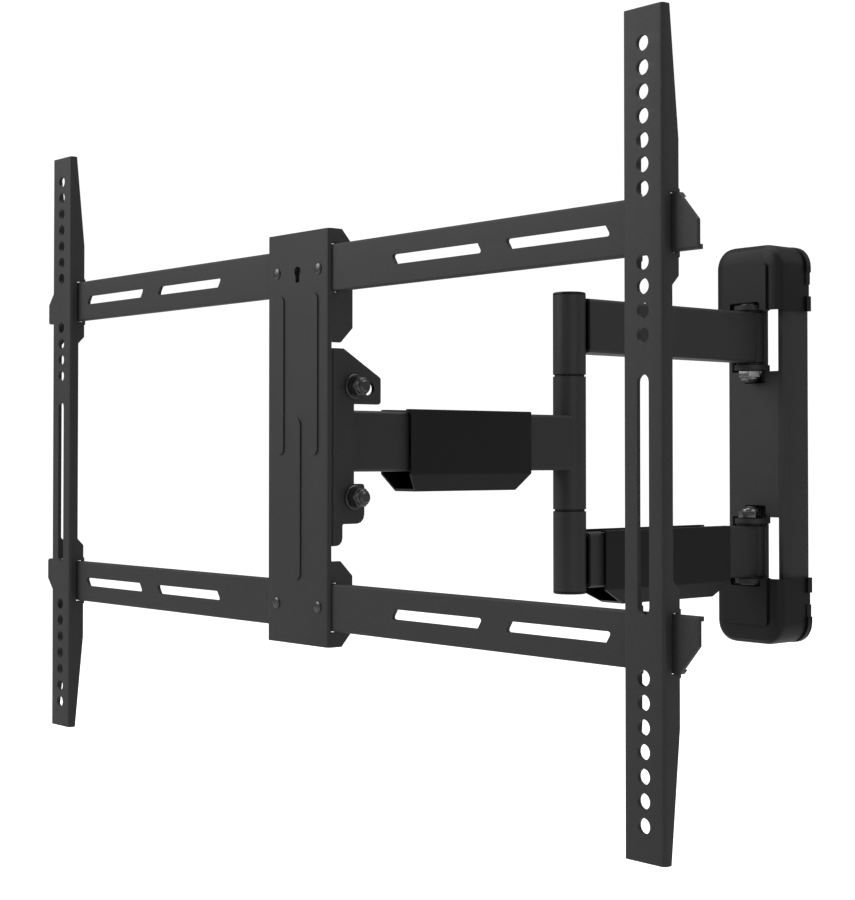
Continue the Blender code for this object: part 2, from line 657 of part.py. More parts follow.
def tilt_bracket():
    """A channel whose cheeks carry the pivot hole and the curved lock slot."""
    half = TILT_WIDTH / 2
    deepest = FACE + 0.050
    section = channel_section(half, BAR_FRONT, deepest, TILT_SHEET, 0.004)
    top = FRAME_RISE + TILT_EAR_TOP
    tail_back = FACE + TILT_TAIL_BACK
    tail_bottom = FRAME_RISE + TILT_TAIL_BOTTOM
    body = slab("XY", tail_bottom - 0.005, top, section)

    level = FRAME_RISE
    lock_back = TILT_AXIS[0] + 0.0219
    waist_back = TILT_AXIS[0]
    pivot_back = TILT_AXIS[0] + 0.0085
    ear_bottom = level + TILT_EAR_BOTTOM
    outline = [(FACE - 0.01, top + 0.01, 0), (FACE + 0.0156, top + 0.01, 0), (FACE + 0.0156, top, 0),
               (lock_back, LOCK_LEVEL + 0.0058, 0.002), (lock_back, LOCK_LEVEL - 0.0112, 0.002),
               (waist_back, LOCK_LEVEL - 0.0112, 0.0005), (waist_back, TILT_AXIS[1] + 0.0086, 0.0005),
               (pivot_back, TILT_AXIS[1] + 0.0086, 0.002), (pivot_back, ear_bottom, 0.006),
               (tail_back, ear_bottom, 0.001), (tail_back, tail_bottom, 0.005),
               (FACE - 0.01, tail_bottom, 0),
               (FACE - 0.01, tail_bottom - 0.01, 0), (deepest + 0.01, tail_bottom - 0.01, 0),
               (deepest + 0.01, top + 0.02, 0),
               (FACE - 0.01, top + 0.02, 0)]
    outside = slab("YZ", -FAR, FAR, rounded(outline, 3))

    bolt_hole = TILT_BOLT_RADIUS + BORE_CLEARANCE
    pivot = slab("YZ", -FAR, FAR, circle(*TILT_AXIS, bolt_hole))
    slot_ends = (90 + TILT_BACK, 90 - TILT_FORWARD)
    outer_arc = arc(*TILT_AXIS, TILT_SLOT_RADIUS + bolt_hole, slot_ends[0], slot_ends[1], 6)
    inner_arc = arc(*TILT_AXIS, TILT_SLOT_RADIUS - bolt_hole, slot_ends[1], slot_ends[0], 6)
    ends = [arc(TILT_AXIS[0] + TILT_SLOT_RADIUS * math.cos(math.radians(angle)),
                TILT_AXIS[1] + TILT_SLOT_RADIUS * math.sin(math.radians(angle)),
                bolt_hole, start, start - 180)[1:-1]
            for angle, start in ((slot_ends[1], slot_ends[1]), (slot_ends[0], slot_ends[0] + 180))]
    lock_slot = slab("YZ", -FAR, FAR, outer_arc + ends[0] + inner_arc + ends[1])
    stud_hole = STUD_RADIUS + BORE_CLEARANCE
    studs = [slab("XZ", FACE, FACE + 0.03, circle(side * STUD_X, level + stud, stud_hole, 12))
             for side in (-1, 1) for stud in STUD_LEVELS]
    return cut(body, outside, pivot, lock_slot, *studs)


def tilt_bolt(level):
    """A bolt on the right cheek: hexagon head inside the yoke, thread outwards."""
    centre = (TILT_AXIS[0], level)
    inner = YOKE_HALF_WIDTH - YOKE_SHEET - GAP
    return fused(slab("YZ", inner - TILT_HEAD_THICKNESS, inner, hexagon(*centre, TILT_HEAD_FLATS)),
                 slab("YZ", inner - 0.001, TILT_BOLT_END, circle(*centre, TILT_BOLT_RADIUS, 12)))


def tilt_washer(level):
    centre = (TILT_AXIS[0], level)
    low = TILT_WIDTH / 2 + GAP
    return slab("YZ", low, low + TILT_WASHER_THICKNESS, circle(*centre, TILT_WASHER_RADIUS),
                [circle(*centre, TILT_BOLT_RADIUS + BORE_CLEARANCE, 12)])


def tilt_nut(level):
    low = TILT_WIDTH / 2 + GAP + TILT_WASHER_THICKNESS + GAP
    return lock_nut("YZ", (TILT_AXIS[0], level), TILT_NUT_FLATS, TILT_BOLT_RADIUS + BORE_CLEARANCE,
                    low, low + TILT_NUT_THICKNESS, True)


# ------------------------------------------------------------------- frame

def centre_plate():
    half = PLATE_WIDTH / 2
    front = FACE + PLATE_BEHIND
    web_back = front + FACE_SHEET
    rise = PLATE_HEIGHT / 2
    deepest = FACE + PLATE_FLANGE_BACK
    section = channel_section(half, front, deepest, FACE_SHEET, 0.003)
    body = slab("XY", FRAME_RISE - rise, FRAME_RISE + rise, section)
    beads = []
    for x, (low, high) in ((-SIDE_BEAD_X, SIDE_BEAD), (SIDE_BEAD_X, SIDE_BEAD), (0, CENTRE_BEAD)):
        outline = [(x + v, FRAME_RISE + (low + high) / 2 + u)
                   for u, v in slot(0, 0, high - low, BEAD_WIDTH)]
        beads.append(slab("XZ", front - BEAD_RISE, front + FACE_SHEET / 2, outline))
    body = fused(body, *beads)

    chamfer = PLATE_CHAMFER
    upper, lower = PLATE_UPPER_FLANGE_END, PLATE_LOWER_FLANGE_END
    trims = [
        [(deepest - chamfer, rise + 0.001), (deepest + 0.01, rise + 0.001),
         (deepest + 0.01, rise - chamfer), (deepest, rise - chamfer)],
        [(web_back, upper), (deepest - chamfer, upper), (deepest, upper + chamfer),
         (deepest + 0.01, upper + chamfer), (deepest + 0.01, lower - chamfer),
         (deepest, lower - chamfer), (deepest - chamfer, lower), (web_back, lower)],
        [(deepest - chamfer, -rise - 0.001), (deepest, -rise + chamfer), (deepest + 0.01, -rise + chamfer),
         (deepest + 0.01, -rise - 0.001)],
    ]
    cutters = [slab("YZ", -FAR, FAR, [(y, FRAME_RISE + z) for y, z in trim]) for trim in trims]
    for side in (-1, 1):
        middle = FRAME_RISE + side * BAR_LEVEL
        reach = BAR_HEIGHT / 2 + SLIDE_CLEARANCE
        window = rectangle((web_back, BAR_FRONT + BAR_DEPTH + SLIDE_CLEARANCE),
                           (middle - reach, middle + reach))
        cutters.append(slab("YZ", -FAR, FAR, window))
        for x in (-RIVET_X, RIVET_X):
            hole = circle(x, middle, RIVET_RADIUS + GAP, 12)
            cutters.append(slab("XZ", front - 0.01, front + 0.01, hole))
    cutters.append(slab("XZ", front - 0.01, front + 0.01,
                        circle(0, FRAME_RISE + KEYHOLE_LEVEL, KEYHOLE_RADIUS)))
    cutters.append(slab("XZ", front - 0.01, front + 0.01,
                        rectangle((-KEYHOLE_STEM_WIDTH / 2, KEYHOLE_STEM_WIDTH / 2),
                                  (FRAME_RISE + KEYHOLE_STEM_END, FRAME_RISE + KEYHOLE_LEVEL))))
    for side in (-1, 1):
        for level in STUD_LEVELS:
            hole = circle(side * STUD_X, FRAME_RISE + level, STUD_RADIUS + GAP, 12)
            cutters.append(slab("XZ", web_back - 0.0012, web_back + 0.005, hole))
    return cut(body, *cutters)


def bar():
    """The upper bar, a shallow channel; the lower one is its mirror image."""
    middle = BAR_LEVEL
    rise = BAR_HEIGHT / 2
    front, back = BAR_FRONT, BAR_FRONT + BAR_DEPTH
    sheet = FACE_SHEET
    inner = 0.0004
    section = rounded([(back, middle - rise, 0), (back, middle - rise + sheet, 0),
                       (front + sheet, middle - rise + sheet, inner),
                       (front + sheet, middle + rise - sheet, inner),
                       (back, middle + rise - sheet, 0), (back, middle + rise, 0),
                       (front, middle + rise, BAR_BEND), (front, middle - rise, BAR_BEND)], 3)
    end = BAR_LENGTH / 2
    body = slab("YZ", -end, end, section)
    top = middle + rise
    cutters = []
    for side in (-1, 1):
        corner = [(side * (end - BAR_CHAMFER_X), top), (side * end, top - BAR_CHAMFER_Z),
                  (side * (end + 0.01), top - BAR_CHAMFER_Z), (side * (end + 0.01), top + 0.01),
                  (side * (end - BAR_CHAMFER_X), top + 0.01)]
        cutters.append(slab("XZ", front - 0.01, back + 0.01, corner))
        for centre in BAR_WINDOW_CENTRES:
            reach = (BAR_WINDOW_LENGTH - BAR_WINDOW_SLANT) / 2
            lean = BAR_WINDOW_SLANT / 2
            tall = BAR_WINDOW_HEIGHT / 2
            window = [(side * (centre - reach - lean), middle + tall, BAR_WINDOW_CORNER),
                      (side * (centre - reach + lean), middle - tall, BAR_WINDOW_CORNER),
                      (side * (centre + reach + lean), middle - tall, BAR_WINDOW_CORNER),
                      (side * (centre + reach - lean), middle + tall, BAR_WINDOW_CORNER)]
            cutters.append(slab("XZ", front - 0.01, back + 0.01, rounded(window, 2)))
        hole = circle(side * RIVET_X, middle, RIVET_RADIUS + GAP, 12)
        cutters.append(slab("XZ", front - 0.01, back + 0.01, hole))
    return cut(body, *cutters)


def bar_rivet(x, level):
    front = FACE + PLATE_BEHIND
    head = front - GAP
    tail = BAR_FRONT + FACE_SHEET + GAP
    centre = (x, level)
    shank = slab("XZ", head - 0.0002, tail + 0.0002, circle(*centre, RIVET_RADIUS, 12))
    return fused(shank, slab("XZ", head - RIVET_HEAD_THICKNESS, head, circle(*centre, RIVET_HEAD_RADIUS)),
                 slab("XZ", tail, tail + RIVET_HEAD_THICKNESS, circle(*centre, RIVET_HEAD_RADIUS)))


def bracket_nut(x, level):
    """A stud with its flanged nut, which holds the tilt bracket to the centre plate."""
    seat = BAR_FRONT + TILT_SHEET + GAP
    root = FACE + PLATE_BEHIND + FACE_SHEET - 0.0012 + GAP
    centre = (x, level)
    stud = slab("XZ", root, seat + STUD_NUT_THICKNESS + 0.001, circle(*centre, STUD_RADIUS, 12))
    flange = slab("XZ", seat, seat + 0.0012, circle(*centre, STUD_NUT_FLATS * 0.66))
    nut = slab("XZ", seat + 0.0008, seat + STUD_NUT_THICKNESS, hexagon(*centre, STUD_NUT_FLATS))
    return fused(stud, flange, nut)


def upright():
    """A television bracket, a perforated channel, drawn about X = 0."""
    half = UPRIGHT_WIDTH / 2
    rise = UPRIGHT_LENGTH / 2
    section = channel_section(half, FACE, FACE + UPRIGHT_GRIP_DEPTH, FACE_SHEET, UPRIGHT_BEND)
    body = slab("XY", FRAME_RISE - rise, FRAME_RISE + rise, section)

    grip = BAR_HEIGHT / 2 + UPRIGHT_GRIP_MARGIN
    slope = UPRIGHT_GRIP_SLOPE
    depth_steps = [(rise + 0.001, UPRIGHT_END_DEPTH), (UPRIGHT_TAPER_START, UPRIGHT_DEPTH),
                   (BAR_LEVEL + grip + slope, UPRIGHT_DEPTH),
                   (BAR_LEVEL + grip, UPRIGHT_GRIP_DEPTH + STRAP_INSET),
                   (BAR_LEVEL - grip, UPRIGHT_GRIP_DEPTH + STRAP_INSET),
                   (BAR_LEVEL - grip - slope, UPRIGHT_DEPTH),
                   (UPRIGHT_WAIST + (UPRIGHT_DEPTH - UPRIGHT_WAIST_DEPTH) / 2, UPRIGHT_DEPTH),
                   (UPRIGHT_WAIST - (UPRIGHT_DEPTH - UPRIGHT_WAIST_DEPTH) / 2, UPRIGHT_WAIST_DEPTH)]
    profile = depth_steps + [(-level, depth) for level, depth in reversed(depth_steps)]
    behind = [(FACE + depth, FRAME_RISE + level) for level, depth in profile]
    behind += [(FACE + 0.05, FRAME_RISE - rise - 0.001), (FACE + 0.05, FRAME_RISE + rise + 0.001)]
    body = cut(body, slab("YZ", -FAR, FAR, behind))
    strap_back = FACE + UPRIGHT_GRIP_DEPTH - STRAP_INSET
    straps = []
    for side in (-1, 1):
        middle = FRAME_RISE + side * BAR_LEVEL
        tall = STRAP_HEIGHT / 2
        strap = rectangle((-half + FACE_SHEET / 2, half - FACE_SHEET / 2), (middle - tall, middle + tall))
        straps.append(slab("XZ", strap_back - STRAP_THICKNESS, strap_back, strap,
                           [circle(0, middle, LOCK_SCREW_RADIUS + BORE_CLEARANCE, 12)]))
    body = fused(body, *straps)
    cutters = []
    for side in (-1, 1):
        middle = FRAME_RISE + side * BAR_LEVEL
        reach = BAR_HEIGHT / 2 + SLIDE_CLEARANCE
        window = rectangle((BAR_FRONT - SLIDE_CLEARANCE, BAR_FRONT + BAR_DEPTH + SLIDE_CLEARANCE),
                           (middle - reach, middle + reach))
        cutters.append(slab("YZ", -FAR, FAR, window))
    levels = [side * (VESA_HEIGHT / 2 - i * HOLE_PITCH) for side in (-1, 1) for i in range(OUTER_HOLES)]
    levels += [INNER_HOLE_TOP - i * HOLE_PITCH for i in range(INNER_HOLES)]
    through = (FACE - 0.01, FACE + 0.01)
    cutters += [slab("XZ", *through, circle(0, FRAME_RISE + level, HOLE_RADIUS)) for level in levels]
    length = SLOT_TOP - SLOT_BOTTOM
    slot_middle = FRAME_RISE + (SLOT_TOP + SLOT_BOTTOM) / 2
    long_slot = [(v, slot_middle + u) for u, v in slot(0, 0, length, SLOT_WIDTH)]
    cutters.append(slab("XZ", *through, long_slot))
    return cut(body, *cutters)


def lock_screw(x, level):
    """Passes through an upright's strap and stops just short of the bar's web."""
    strap_back = FACE + UPRIGHT_GRIP_DEPTH - STRAP_INSET
    head = strap_back + GAP
    tip = BAR_FRONT + FACE_SHEET + GAP
    shank = slab("XZ", tip, head + 0.0005, circle(x, level, LOCK_SCREW_RADIUS, 12))
    return fused(shank, slab("XZ", head, head + LOCK_SCREW_HEAD_THICKNESS,
                             circle(x, level, LOCK_SCREW_HEAD_RADIUS)))


def moved(mesh, x, y, z):
    copy = mesh.copy()
    copy.transform(Matrix.Translation((x, y, z)))
    return copy


# ---------------------------------------------------------------- assembly

def build():
    for obj in list(bpy.data.objects):
        bpy.data.objects.remove(obj)
    mount = bpy.data.collections.new("tv_wall_mount")
    bpy.context.scene.collection.children.link(mount)

    steel = material("powder_coated_steel", (0.045, 0.045, 0.046), 0.55, 0.0)
    arm_steel = material("arm_steel", (0.032, 0.032, 0.033), 0.5, 0.0)
    plastic = material("black_plastic", (0.012, 0.012, 0.013), 0.45, 0.0)
    zinc = material("zinc_plated_steel", (0.55, 0.55, 0.54), 0.3, 1.0)
    dark_bolt = material("black_oxide_steel", (0.03, 0.03, 0.03), 0.35, 0.8)
    nylon = material("black_nylon", (0.02, 0.02, 0.02), 0.6, 0.0)

    pivot_places = {}

    def pivot(name, x, y, z, parent=None):
        """An empty on a joint's axis; each moving piece hangs from one."""
        empty = bpy.data.objects.new(name, None)
        mount.objects.link(empty)
        empty.parent = parent
        base = pivot_places[parent.name] if parent else (0, 0, 0)
        empty.location = (x - base[0], y - base[1], z - base[2])
        pivot_places[name] = (x, y, z)
        return empty

    wall = pivot("wall_frame", 0, 0, 0)
    wall_swivel = pivot("wall_swivel", 0, WALL_AXIS, 0, wall)
    elbow = pivot("elbow", 0, ELBOW_AXIS, 0, wall_swivel)
    head_swivel = pivot("head_swivel", 0, HEAD_AXIS, 0, elbow)
    tilt = pivot("tilt", 0, *TILT_AXIS, head_swivel)
    upright_slides = {"left": pivot("left_slide", -VESA_WIDTH / 2, FACE, FRAME_RISE, tilt),
                      "right": pivot("right_slide", VESA_WIDTH / 2, FACE, FRAME_RISE, tilt)}

    def add(name, mesh, finish, parent):
        """Put a world-space mesh in the model, with its origin on its parent's axis."""
        x, y, z = pivot_places[parent.name]
        mesh.transform(Matrix.Translation((-x, -y, -z)))
        mesh.name = name
        mesh.materials.clear()
        mesh.materials.append(finish)
        mesh.shade_smooth()
        mesh.set_sharp_from_angle(angle=math.radians(30))
        obj = bpy.data.objects.new(name, mesh)
        mount.objects.link(obj)
        obj.parent = parent

    add("wall_plate", wall_plate(), steel, wall)
    cap = wall_cap()
    add("wall_cap_bottom", mirrored(cap, "Z"), plastic, wall)
    add("wall_cap_top", cap, plastic, wall)
    for place, outward in (("top", 1), ("bottom", -1)):
        level = outward * REAR_ARM_LEVEL
        add("wall_pivot_bolt_" + place, pivot_bolt(WALL_AXIS, level, outward), dark_bolt, wall)
        add("wall_pivot_nut_" + place, pivot_nut(WALL_AXIS, level, outward), zinc, wall)
        half = ARM_HEIGHT / 2
        add(f"wall_bush_{place}_upper", bush(WALL_AXIS, level + half + GAP), nylon, wall)
        add(f"wall_bush_{place}_lower", bush(WALL_AXIS, level - half - GAP - BUSH_THICKNESS), nylon, wall)

    upper_arm = rear_arm()
    add("rear_arm_bottom", mirrored(upper_arm, "Z"), arm_steel, wall_swivel)
    add("rear_arm_top", upper_arm, arm_steel, wall_swivel)
    add("rear_cable_cover", cable_cover(-REAR_ARM_LEVEL, REAR_COVER), plastic, wall_swivel)
    add("elbow_bolt", elbow_bolt(), dark_bolt, wall_swivel)
    add("elbow_nut", elbow_nut(), zinc, wall_swivel)
    column_cap = elbow_cap()
    add("elbow_cap_bottom", mirrored(column_cap, "Z"), plastic, wall_swivel)
    add("elbow_cap_top", column_cap, plastic, wall_swivel)
    washer_low = ELBOW_SPLIT - ELBOW_WASHER_THICKNESS / 2
    elbow_washer = bush(ELBOW_AXIS, washer_low, ELBOW_WASHER_THICKNESS)
    add("elbow_washer_lower", mirrored(elbow_washer, "Z"), nylon, wall_swivel)
    add("elbow_washer_upper", elbow_washer, nylon, wall_swivel)

    add("front_arm", front_arm(), arm_steel, elbow)
    add("front_cable_cover", cable_cover(0, FRONT_COVER), plastic, elbow)

    add("head_yoke", head_yoke(), arm_steel, head_swivel)
    add("head_pivot_bolt", pivot_bolt(HEAD_AXIS, 0, 1), dark_bolt, head_swivel)
    add("head_pivot_nut", pivot_nut(HEAD_AXIS, 0, 1), zinc, head_swivel)
    add("head_bush_upper", bush(HEAD_AXIS, ARM_HEIGHT / 2 + GAP), nylon, head_swivel)
    add("head_bush_lower", bush(HEAD_AXIS, -ARM_HEIGHT / 2 - GAP - BUSH_THICKNESS), nylon, head_swivel)
    for place, level in (("lock", LOCK_LEVEL), ("pivot", TILT_AXIS[1])):
        for kind, make, finish in (("bolt", tilt_bolt, dark_bolt), ("washer", tilt_washer, dark_bolt),
                                   ("nut", tilt_nut, dark_bolt)):
            mesh = make(level)
            add(f"tilt_{place}_{kind}_left", mirrored(mesh, "X"), finish, head_swivel)
            add(f"tilt_{place}_{kind}_right", mesh, finish, head_swivel)

    add("tilt_bracket", tilt_bracket(), arm_steel, tilt)
    add("centre_plate", centre_plate(), steel, tilt)
    top_bar = bar()
    add("lower_bar", moved(mirrored(top_bar, "Z"), 0, 0, FRAME_RISE), steel, tilt)
    add("upper_bar", moved(top_bar, 0, 0, FRAME_RISE), steel, tilt)
    for row, sign in (("upper", 1), ("lower", -1)):
        for place, side in (("left", -1), ("right", 1)):
            level = FRAME_RISE + sign * BAR_LEVEL
            add(f"bar_rivet_{row}_{place}", bar_rivet(side * RIVET_X, level), dark_bolt, tilt)
            stud = FRAME_RISE + STUD_LEVELS[0 if sign > 0 else 1]
            add(f"bracket_nut_{row}_{place}", bracket_nut(side * STUD_X, stud), dark_bolt, tilt)

    bracket = upright()
    for place, side in (("left", -1), ("right", 1)):
        add(place + "_upright", moved(bracket, side * VESA_WIDTH / 2, 0, 0), steel, upright_slides[place])
        for row, sign in (("upper", 1), ("lower", -1)):
            screw = lock_screw(side * VESA_WIDTH / 2, FRAME_RISE + sign * BAR_LEVEL)
            add(f"{place}_lock_screw_{row}", screw, dark_bolt, upright_slides[place])


build()
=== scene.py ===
"""Finishes, fastener detail, stage and camera for a full motion television wall mount."""

import json
import math

import bmesh
import bpy
from bpy.props import FloatProperty, FloatVectorProperty, PointerProperty
from mathutils import Matrix, Vector


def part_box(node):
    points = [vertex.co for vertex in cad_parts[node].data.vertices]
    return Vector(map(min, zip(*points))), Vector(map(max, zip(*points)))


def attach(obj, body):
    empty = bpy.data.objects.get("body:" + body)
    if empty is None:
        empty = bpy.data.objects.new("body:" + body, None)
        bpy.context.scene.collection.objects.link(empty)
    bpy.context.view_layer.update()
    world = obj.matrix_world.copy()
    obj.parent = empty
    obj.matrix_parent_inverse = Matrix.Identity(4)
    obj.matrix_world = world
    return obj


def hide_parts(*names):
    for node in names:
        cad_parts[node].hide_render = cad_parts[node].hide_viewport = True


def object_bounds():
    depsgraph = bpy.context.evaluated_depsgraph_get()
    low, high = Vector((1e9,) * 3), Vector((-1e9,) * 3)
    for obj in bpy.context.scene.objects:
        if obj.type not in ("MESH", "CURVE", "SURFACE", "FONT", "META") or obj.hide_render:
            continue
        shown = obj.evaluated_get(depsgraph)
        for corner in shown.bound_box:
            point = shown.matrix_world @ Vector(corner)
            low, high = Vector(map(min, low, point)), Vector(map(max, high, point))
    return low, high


bl_info = {
    "name": "TV wall mount looks",
    "version": (1, 0, 0),
    "blender": (4, 5, 0),
    "location": "View3D > Sidebar > TV mount",
    "description": "Finishes and details a full motion television wall mount",
    "category": "Object",
}

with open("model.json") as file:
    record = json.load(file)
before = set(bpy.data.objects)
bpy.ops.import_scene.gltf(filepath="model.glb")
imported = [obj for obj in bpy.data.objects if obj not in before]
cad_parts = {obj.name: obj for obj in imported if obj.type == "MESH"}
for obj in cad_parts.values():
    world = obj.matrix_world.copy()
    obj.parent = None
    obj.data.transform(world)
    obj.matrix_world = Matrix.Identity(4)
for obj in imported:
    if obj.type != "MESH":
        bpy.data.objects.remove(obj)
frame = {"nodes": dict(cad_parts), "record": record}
CAD_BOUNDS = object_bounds()
BODY_OF = {node: body for body, nodes in frame["record"]["behaviour"]["bodies"].items() for node in nodes}
SLOT_OF = {part["node"]: part["material_slot"] for part in frame["record"]["subparts"]}

UP, RIGHT, BACK = Vector((0, 0, 1)), Vector((1, 0, 0)), Vector((0, 1, 0))
ROUND = 40                  # sides of a turned piece
ROUND_SOCKET = 36           # sides of a socket head; a multiple of 6, so that a socket has true corners
ROUND_CAP = 64              # sides of an elbow cap
MERGE_DISTANCE = 1e-6
HINGE_SHANK = 0.005         # radii of the bolts' shanks
TILT_SHANK = 0.004
STUD_SHANK = 0.003
LOCK_SCREW_SHANK = 0.0025
RIVET_SHANK = 0.0022
HINGE_SOCKET = 0.006        # across the flats
LOCK_SCREW_SOCKET = 0.003
TILT_HEAD = 0.005           # height of a tilt bolt's head
LOCK_SCREW_HEAD = 0.003     # height of a lock screw's head
BRACKET_NUT_HEIGHT = 0.0065
BRACKET_NUT_FLATS = 0.011
RIVET_DOME = 0.0008
CAP_SPIGOT = 0.0087         # radius of the elbow cap's plug
CAP_RIM = 0.0018            # thickness of its rim
SHARP_ANGLE = math.radians(32)
BEVEL_ANGLE = math.radians(28)


def span(node, axis):
    """Length of a CAD node along an axis."""
    low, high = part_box(node)
    return high[axis] - low[axis]


def middle(node):
    """Centre of a CAD node's box."""
    low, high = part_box(node)
    return (Vector(low) + Vector(high)) / 2


# ------------------------------------------------------------- properties

def colour_property(name, description, default):
    return FloatVectorProperty(name=name, description=description, subtype="COLOR", size=3, min=0, max=1,
                               default=default)


def length_property(name, description, default):
    return FloatProperty(name=name, description=description, unit="LENGTH", precision=5, min=0.00001,
                         default=default)


class TVMountFinishSettings(bpy.types.PropertyGroup):
    plate_colour: colour_property("Plate colour", "Powder coat on the plates, bars and uprights",
                                  (0.021, 0.021, 0.0215))
    arm_colour: colour_property("Arm colour", "Powder coat on the arms, yoke and tilt bracket",
                                (0.0185, 0.0185, 0.0190))
    plastic_colour: colour_property("Plastic colour", "Cable covers and end caps", (0.0036, 0.0036, 0.0038))
    zinc_colour: colour_property("Zinc colour", "Plated hinge nuts", (0.17, 0.17, 0.167))
    bolt_colour: colour_property("Black bolt colour", "Blackened bolts, washers and screws",
                                 (0.075, 0.075, 0.078))
    nylon_colour: colour_property("Nylon colour", "Washers between the hinge ears and the arms",
                                  (0.010, 0.010, 0.011))
    coat_grain: length_property("Coat grain", "Size of the powder coat's orange peel", 0.0007)
    moulded_grain: length_property("Moulded grain", "Size of the grain on moulded plastic", 0.0005)
    sheet_edge: length_property("Sheet edge", "Radius of the coated edges of sheet metal", 0.0004)
    moulded_edge: length_property("Moulded edge", "Radius of the edges of moulded pieces", 0.0005)


class TVMountFastenerSettings(bpy.types.PropertyGroup):
    hinge_head: length_property("Hinge bolt head", "Height of the hinge bolts' heads", 0.0016)
    elbow_head: length_property("Elbow bolt head", "Height of the elbow bolt's head", 0.006)
    hinge_pitch: length_property("Hinge thread pitch", "Pitch of the hinge bolts' thread", 0.0015)
    tilt_pitch: length_property("Tilt thread pitch", "Pitch of the tilt bolts' thread", 0.00125)
    stud_pitch: length_property("Stud thread pitch", "Pitch of the studs' thread", 0.001)
    corner_round: length_property("Corner rounding", "Radius on the corners of nuts and bolt heads", 0.0004)


class TVMountStageSettings(bpy.types.PropertyGroup):
    floor_colour: colour_property("Floor colour", "Plain pale floor", (0.86, 0.86, 0.86))
    floor_drop: length_property("Floor drop", "Height of the lowest point above the floor", 0.09)
    camera_place: FloatVectorProperty(name="Camera place", description="Where the camera stands",
                                      subtype="TRANSLATION", unit="LENGTH",
                                      default=(0.9022, -1.1619, -0.0104))
    camera_azimuth: FloatProperty(name="Camera azimuth",
                                  description="Turn of the view from straight at the wall", subtype="ANGLE",
                                  default=math.radians(49.29))
    camera_rise: FloatProperty(name="Camera rise", description="How far the camera looks up",
                               subtype="ANGLE", default=math.radians(1.10))
    focal_length: FloatProperty(name="Focal length", description="Of the lens, in millimetres", default=69.84)
    shift_x: FloatProperty(name="Shift across", description="Framing shift across", default=0.0046)
    shift_y: FloatProperty(name="Shift up", description="Framing shift up", default=-0.0294)
    key_power: FloatProperty(name="Key light", description="Large soft light on the left", subtype="POWER",
                             default=42)
    fill_power: FloatProperty(name="Fill light", description="Soft light on the right", subtype="POWER",
                              default=10)
    top_power: FloatProperty(name="Top light", description="Soft light overhead", subtype="POWER", default=30)
    back_power: FloatProperty(name="Back light", description="Soft light behind and above", subtype="POWER",
                              default=6)
    ambient: FloatProperty(name="Ambient", description="Light that the white surroundings give", default=0.24)
    backdrop: FloatProperty(name="Backdrop", description="How bright the surroundings look", default=1.05)
    floor_glow: FloatProperty(name="Floor glow", description="Light that lifts the floor to white",
                              default=0.85)


# ------------------------------------------------------------ node groups

def new_group(name, inputs, outputs):
    """An empty shader group; inputs are (name, socket type, default) and outputs (name, socket type)."""
    tree = bpy.data.node_groups.new(name, "ShaderNodeTree")
    for label, kind, default in inputs:
        socket = tree.interface.new_socket(label, in_out="INPUT", socket_type=kind)
        if default is not None:
            socket.default_value = default
    for label, kind in outputs:
        tree.interface.new_socket(label, in_out="OUTPUT", socket_type=kind)
    return tree, tree.nodes.new("NodeGroupInput"), tree.nodes.new("NodeGroupOutput")


def maths(tree, operation, a, b=None):
    node = tree.nodes.new("ShaderNodeMath")
    node.operation = operation
    for socket, value in zip(node.inputs, (a, b)):
        if isinstance(value, (int, float)):
            socket.default_value = value
        elif value is not None:
            tree.links.new(value, socket)
    return node.outputs[0]


def map_range(tree, value, low, high, to_low, to_high):
    node = tree.nodes.new("ShaderNodeMapRange")
    node.clamp = True
    tree.links.new(value, node.inputs["Value"])
    for label, number in (("From Min", low), ("From Max", high), ("To Min", to_low), ("To Max", to_high)):
        node.inputs[label].default_value = number
    return node.outputs["Result"]


def noise(tree, vector, scale, detail=3.0, roughness=0.55):
    node = tree.nodes.new("ShaderNodeTexNoise")
    node.inputs["Detail"].default_value = detail
    node.inputs["Roughness"].default_value = roughness
    tree.links.new(vector, node.inputs["Vector"])
    if isinstance(scale, (int, float)):
        node.inputs["Scale"].default_value = scale
    else:
        tree.links.new(scale, node.inputs["Scale"])
    return node.outputs["Fac"]


def powder_coat_group():
    """Orange peel with fine sparkle, and slow drift in tone, of baked powder coat."""
    tree, given, out = new_group("powder_coat", [("Vector", "NodeSocketVector", None),
                                                 ("Size", "NodeSocketFloat", 0.0007)],
                                 [("Height", "NodeSocketFloat"), ("Tone", "NodeSocketFloat"),
                                  ("Speck", "NodeSocketFloat")])
    vector = given.outputs["Vector"]
    density = maths(tree, "DIVIDE", 1.0, given.outputs["Size"])
    peel = noise(tree, vector, density, 2.0, 0.5)
    cells = tree.nodes.new("ShaderNodeTexVoronoi")
    cells.feature = "SMOOTH_F1"
    tree.links.new(vector, cells.inputs["Vector"])
    tree.links.new(maths(tree, "MULTIPLY", density, 1.6), cells.inputs["Scale"])
    height = maths(tree, "ADD", maths(tree, "MULTIPLY", peel, 0.65),
                   maths(tree, "MULTIPLY", cells.outputs[0], 0.45))
    tone = noise(tree, vector, 22.0, 4.0, 0.6)
    sparkle = noise(tree, vector, maths(tree, "MULTIPLY", density, 0.9), 1.0, 0.5)
    speck = map_range(tree, sparkle, 0.62, 0.78, 0, 1)
    for label, value in (("Height", height), ("Tone", tone), ("Speck", speck)):
        tree.links.new(value, out.inputs[label])
    return tree


